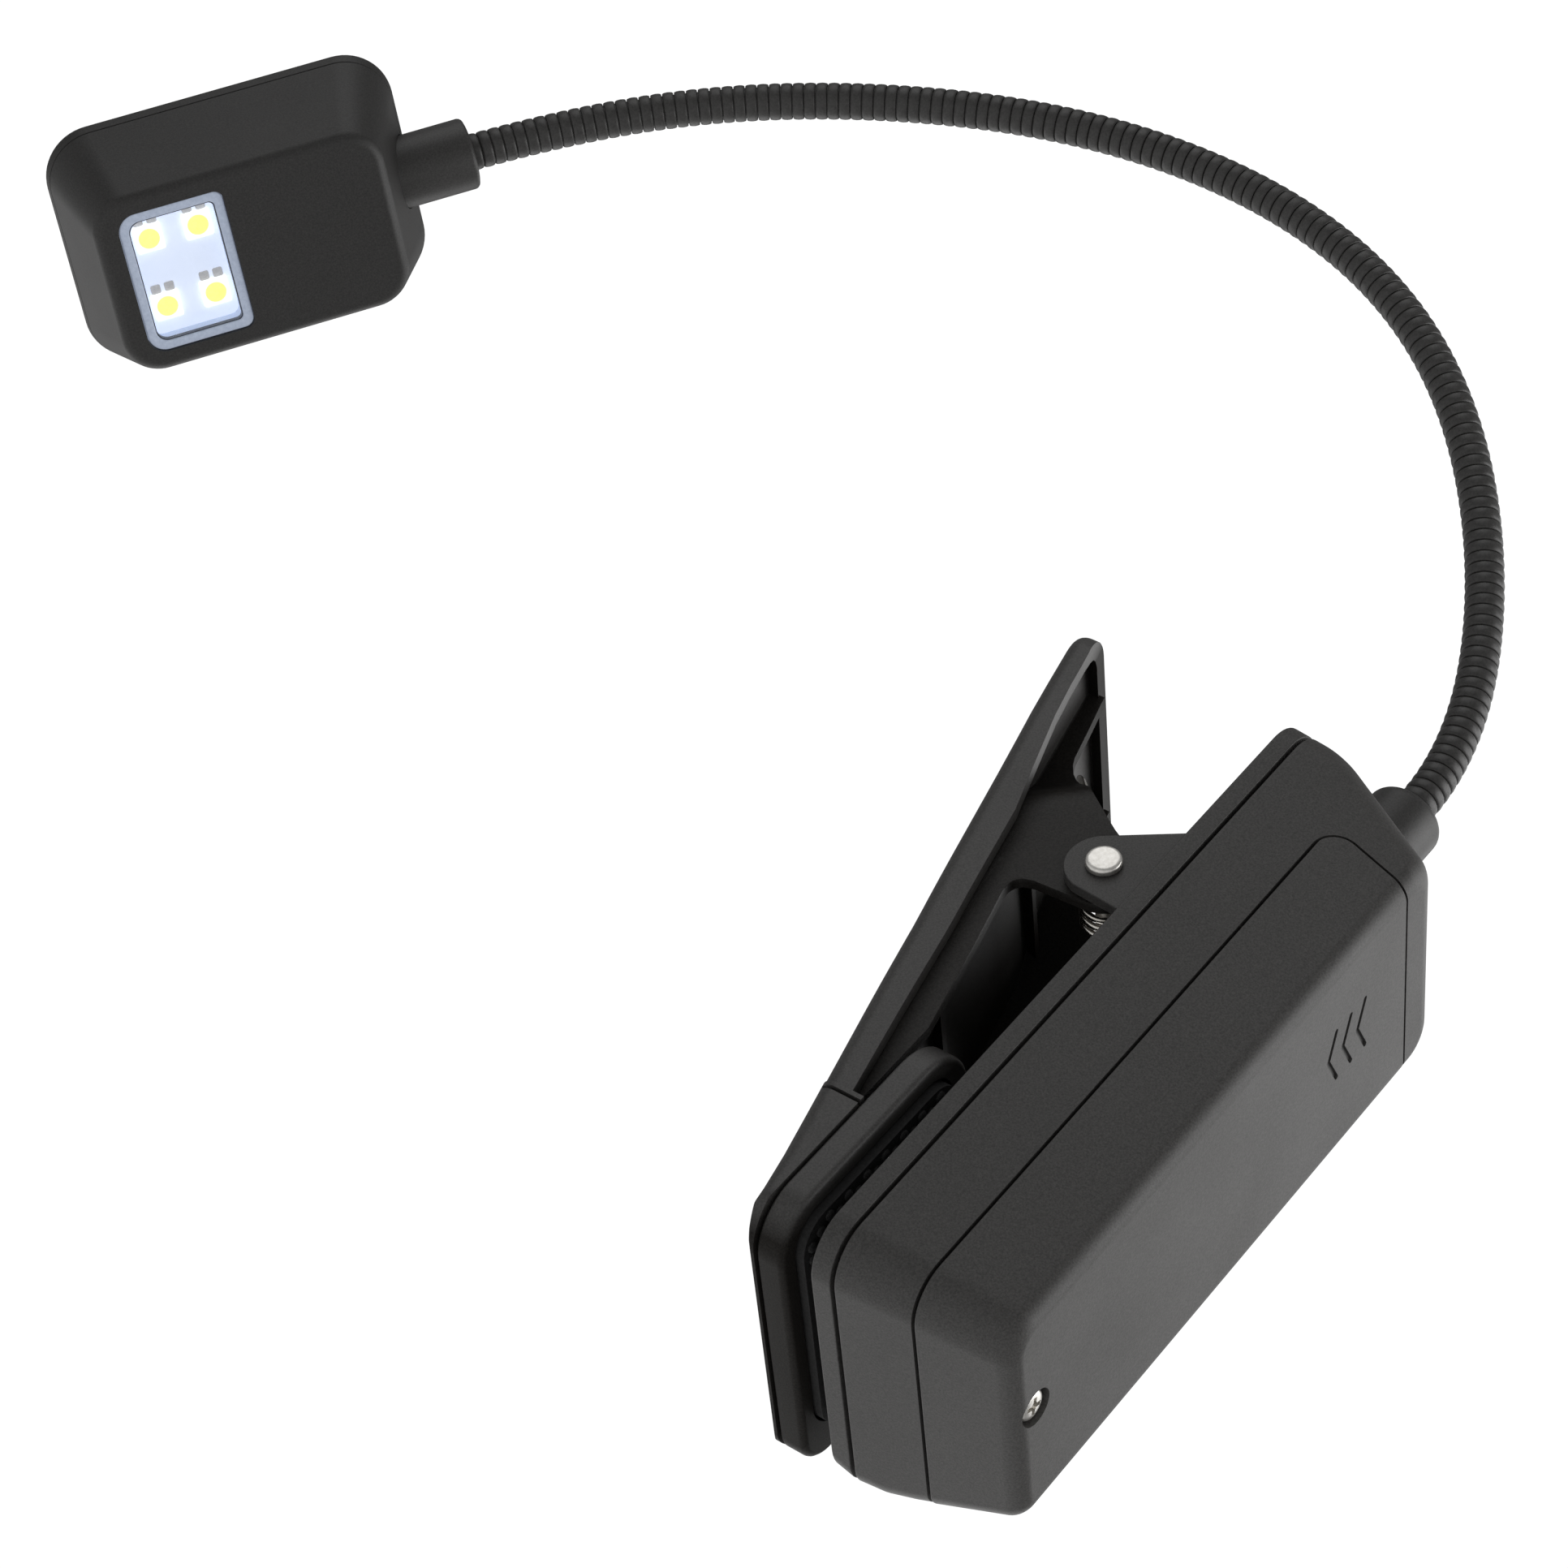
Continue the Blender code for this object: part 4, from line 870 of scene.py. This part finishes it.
def build_head():
    edge = 1.3
    rings = [head_ring(edge * (1 - math.sin(a)), edge * (1 - math.cos(a)))
             for a in (math.pi / 2 - math.pi / 14 * i for i in range(8))]
    rings += [head_ring(6.0), head_ring(12.0), head_ring(BACK_SEAM - 0.05), head_ring(BACK_SEAM, 0.05)]
    hollow = loft([head_ring(HEAD_WALL, HEAD_WALL), head_ring(BACK_SEAM + 1, HEAD_WALL)])
    outline = rounded((WINDOW_X[0], -WINDOW_HALF_Y), (WINDOW_X[1], WINDOW_HALF_Y), (3.0, 1.6, 1.6, 3.0))
    opening = prism(outline, "Z", -5, 3)
    shell = shaped(loft(rings), [hollow, opening, collar_bore()])
    piece("head_shell_skin", in_head(shell), "head", HEAD_PLASTIC, ["head_shell"], bevel=0.1)

    rings = [head_ring(BACK_SEAM + 0.16, 0.05), head_ring(BACK_SEAM + 0.21), head_ring(HEAD_DEPTH - 1.6)]
    rings += [head_ring(HEAD_DEPTH - 1.6 + 1.6 * math.sin(a), 1.8 * (1 - math.cos(a)))
              for a in (math.pi / 16 * i for i in range(1, 9))]
    cuts = [collar_bore(), rod((-4, 0, -BACK_SEAM + 1), (-4, 0, -HEAD_DEPTH - 1), 5.3, 64)]
    for y in (-11.0, 11.0):
        cuts.append(rod((-16, y, -10), (-16, y, -30), 1.2))
        cuts.append(rod((-16, y, -HEAD_DEPTH + 1.3), (-16, y, -30), 2.3))
    back = in_head(shaped(loft(rings), cuts))
    piece("head_back_skin", back, "head", HEAD_PLASTIC, ["head_back_cover"], bevel=0.15)


def build_window():
    low, high = (WINDOW_X[0] + 0.12, -WINDOW_HALF_Y + 0.12), (WINDOW_X[1] - 0.12, WINDOW_HALF_Y - 0.12)
    rim = 1.45

    def inner(grow):
        far = rim - grow
        return rounded((low[0] + far, low[1] + far), (high[0] - far, high[1] - far), (1.9, 0.9, 0.9, 1.9))

    frame_ring = shaped(prism(rounded(low, high, (2.9, 1.5, 1.5, 2.9)), "Z", -1.7, -0.35),
                        [prism(inner(0.0), "Z", -3, 2)])
    piece("window_rim", in_head(frame_ring), "head", FRAME_PAINTED_GLOW, ["led_window"], bevel=0.18)
    seal = shaped(prism(inner(0.04), "Z", -1.6, -0.62), [prism(inner(-0.16), "Z", -3, 2)])
    piece("window_seal", in_head(seal), "head", SEAL)
    piece("window_pane", in_head(prism(inner(0.05), "Z", -1.45, -0.75)), "head", CLEAR)


def build_tray():
    block = prism(rounded((WINDOW_X[0] - 0.6, -12.4), (WINDOW_X[1] + 0.9, 12.4), 2.0), "Z", -6.4, -1.9)
    low, high = (WINDOW_X[0] + 1.0, -11.2), (WINDOW_X[1] - 0.9, 11.2)
    well = [[(x, y, z) for x, y in rounded((low[0] + s, low[1] + s), (high[0] - s, high[1] - s), 1.4)]
            for s, z in ((0.8, -5.4), (0.0, 0.0))]
    tray = shaped(block, [loft(well)])
    piece("tray", in_head(tray), "head", TRAY_PAINTED_GLOW, ["reflector_tray"])


def build_led(number, x, y):
    """A square package with a round bowl of phosphor, and its two solder pads, which carry a painted glow."""
    case = [[(a, b, z) for a, b in rounded((x - half, y - half), (x + half, y + half), 0.3, 4)]
            for half, z in ((LED_HALF, -4.15), (LED_HALF, -3.45), (LED_HALF - 0.1, -3.3))]
    bowl = turned([(0, 1.0), (1.95, 1.0), (1.85, -0.12), (0, -0.12)],
                  Matrix.Translation(Vector((x, y, -3.3)) * MM))
    package = shaped(loft(case), [bowl])
    piece("led_case_%d" % number, in_head(package), "head", LED_CASE, ["led_%d" % number],
          bevel=0.08)
    dot = turned([(0, 0.10), (1.1, 0.07), (1.6, 0.0), (1.82, -0.12), (0, -0.12)],
                 Matrix.Translation(Vector((x, y, -3.38)) * MM), 32)
    piece("phosphor_%d" % number, in_head(dot), "head", PHOSPHOR)
    pads = [prism(rounded((x + shift - 0.8, y - 3.7), (x + shift + 0.8, y - 2.2), 0.3, 4), "Z", -4.3, -4.0)
            for shift in (-1.1, 1.1)]
    piece("solder_pads_%d" % number, in_head(joined(*pads)), "head", SOLDER_PAINTED_GLOW)


def build_button():
    profile = [(0, 0.8), (1.6, 0.86), (3.0, 0.98), (3.9, 0.95), (4.4, 0.72), (4.75, 0.35), (4.95, -0.2),
               (5.0, -0.7), (5.0, -2.9), (5.6, -2.9), (5.6, -3.7), (0, -3.7)]
    base = HEAD @ (Vector((-4, 0, -HEAD_DEPTH)) * MM) / MM
    cap = turned(profile, along(base, -FACE), 64)
    piece("button_cap", cap, "button", BUTTON_PLASTIC, ["power_button"])


# ---------------------------------------------------------------- CAD nodes that stay

def finish_nodes():
    finishes = {"neck_nut": NICKEL, "driver_board": BOARD_GREEN, "pin_clip": NICKEL,
                "led_board": BOARD_PAINTED_GLOW, "switch_body": SWITCH_PLASTIC}
    for i in (1, 2):
        finishes["head_screw_%d" % i] = BLACK_STEEL
    for i in (1, 2, 3):
        finishes["cell_%d" % i] = SLEEVE
        finishes["contact_spring_%d" % i] = NICKEL
        finishes["contact_plate_%d" % i] = NICKEL
    for i in (1, 2, 3, 4):
        finishes["plate_screw_%d" % i] = BLACK_STEEL
    for name, material in finishes.items():
        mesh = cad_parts[name].data
        mesh.materials.clear()
        mesh.materials.append(material)


# ---------------------------------------------------------------- camera, floor and light

# Each light's place and size in metres, and its power in watts
LIGHTS = {"key_right": ((0.49, 0.03, 0.41), 0.5, 2.3),
          "rear_right": ((0.395, 0.819, 0.977), 1.0, 3.8),
          "low_left": ((-0.9959, 0.8058, -0.3261), 1.0, 2.4),
          "overhead": ((-0.5504, -0.9265, 0.8488), 1.0, 2.9),
          "low_rear": ((-0.1521, 1.2957, 0.0284), 1.0, 4.0)}
LIGHTS_AIM = Vector((-0.06, 0.0, 0.08))


def build_camera():
    camera = bpy.data.objects.new("camera", bpy.data.cameras.new("camera"))
    bpy.context.scene.collection.objects.link(camera)
    camera.data.sensor_width = 36.0
    camera.data.lens = CAMERA_LENS
    camera.data.clip_end = 50.0
    camera.matrix_world = Matrix.Translation(CAMERA_PLACE) @ Matrix(CAMERA_TURN).to_4x4()
    bpy.context.scene.camera = camera


def build_floor():
    bm = bmesh.new()
    bmesh.ops.create_grid(bm, x_segments=8, y_segments=8, size=6.0)
    floor = holder_of(to_mesh(bm, "floor"))
    floor.location.z = FLOOR_Z
    paint = glowing("floor_paint", (0.80, 0.80, 0.80), (0.84, 0.84, 0.84), (1.0, 1.0, 1.0), 0.25, 0.8)
    floor.data.materials.append(paint)


def build_world():
    """A white backdrop for the camera, and a weaker white fill for the light on the lamp."""
    world = bpy.data.worlds.new("studio")
    bpy.context.scene.world = world
    world.use_nodes = True
    nodes, links = world.node_tree.nodes, world.node_tree.links
    backdrop = nodes["Background"]
    fill = nodes.new("ShaderNodeBackground")
    for background, strength in ((backdrop, 1.05), (fill, 0.22)):
        background.inputs["Color"].default_value = (1.0, 1.0, 1.0, 1.0)
        background.inputs["Strength"].default_value = strength
    path = nodes.new("ShaderNodeLightPath")
    mix = nodes.new("ShaderNodeMixShader")
    links.new(path.outputs["Is Camera Ray"], mix.inputs["Fac"])
    links.new(fill.outputs["Background"], mix.inputs[1])
    links.new(backdrop.outputs["Background"], mix.inputs[2])
    links.new(mix.outputs["Shader"], nodes["World Output"].inputs["Surface"])


def build_lights():
    for name, (place, size, power) in LIGHTS.items():
        light = bpy.data.objects.new(name, bpy.data.lights.new(name, "AREA"))
        bpy.context.scene.collection.objects.link(light)
        light.data.size = size
        light.data.energy = power
        light.location = place
        aim = LIGHTS_AIM - Vector(place)
        light.rotation_euler = aim.to_track_quat("-Z", "Y").to_euler()
    bpy.context.scene.view_settings.view_transform = "Standard"


build_camera()
build_floor()
build_world()
build_lights()
build_box()
build_door()
jaw_pad = studded(PLATE_X, STUD_HEIGHT, 0.0, PAD_HALF, PAD_Z, PAD_CORNER)
piece("jaw_pad_studs", jaw_pad, "box", RUBBER, ["jaw_pad"])
lever_pad = studded(HOLDER_X[1] - 1.5, -1.0 - STUD_HEIGHT, -1.0, PAD_HALF - 0.2,
                    (PAD_Z[0] + 0.3, PAD_Z[1] - 0.2), PAD_CORNER)
piece("lever_pad_studs", lever_pad, "lever", RUBBER, ["lever_pad"])
door_screw = screw_mesh((29.25, *DOOR_SCREW), (1, 0, 0), 2.4, 1.5, 1.1, 9.0)
piece("door_screw_head", door_screw, "door_screw", NICKEL, ["door_screw"])
build_lever()
build_holder()
build_clip_hardware()
build_neck()
build_collars()
build_head()
build_window()
build_tray()
for number, (y, x) in enumerate([(y, x) for y in LED_Y for x in LED_X], 1):
    build_led(number, x, y)
build_button()
finish_nodes()
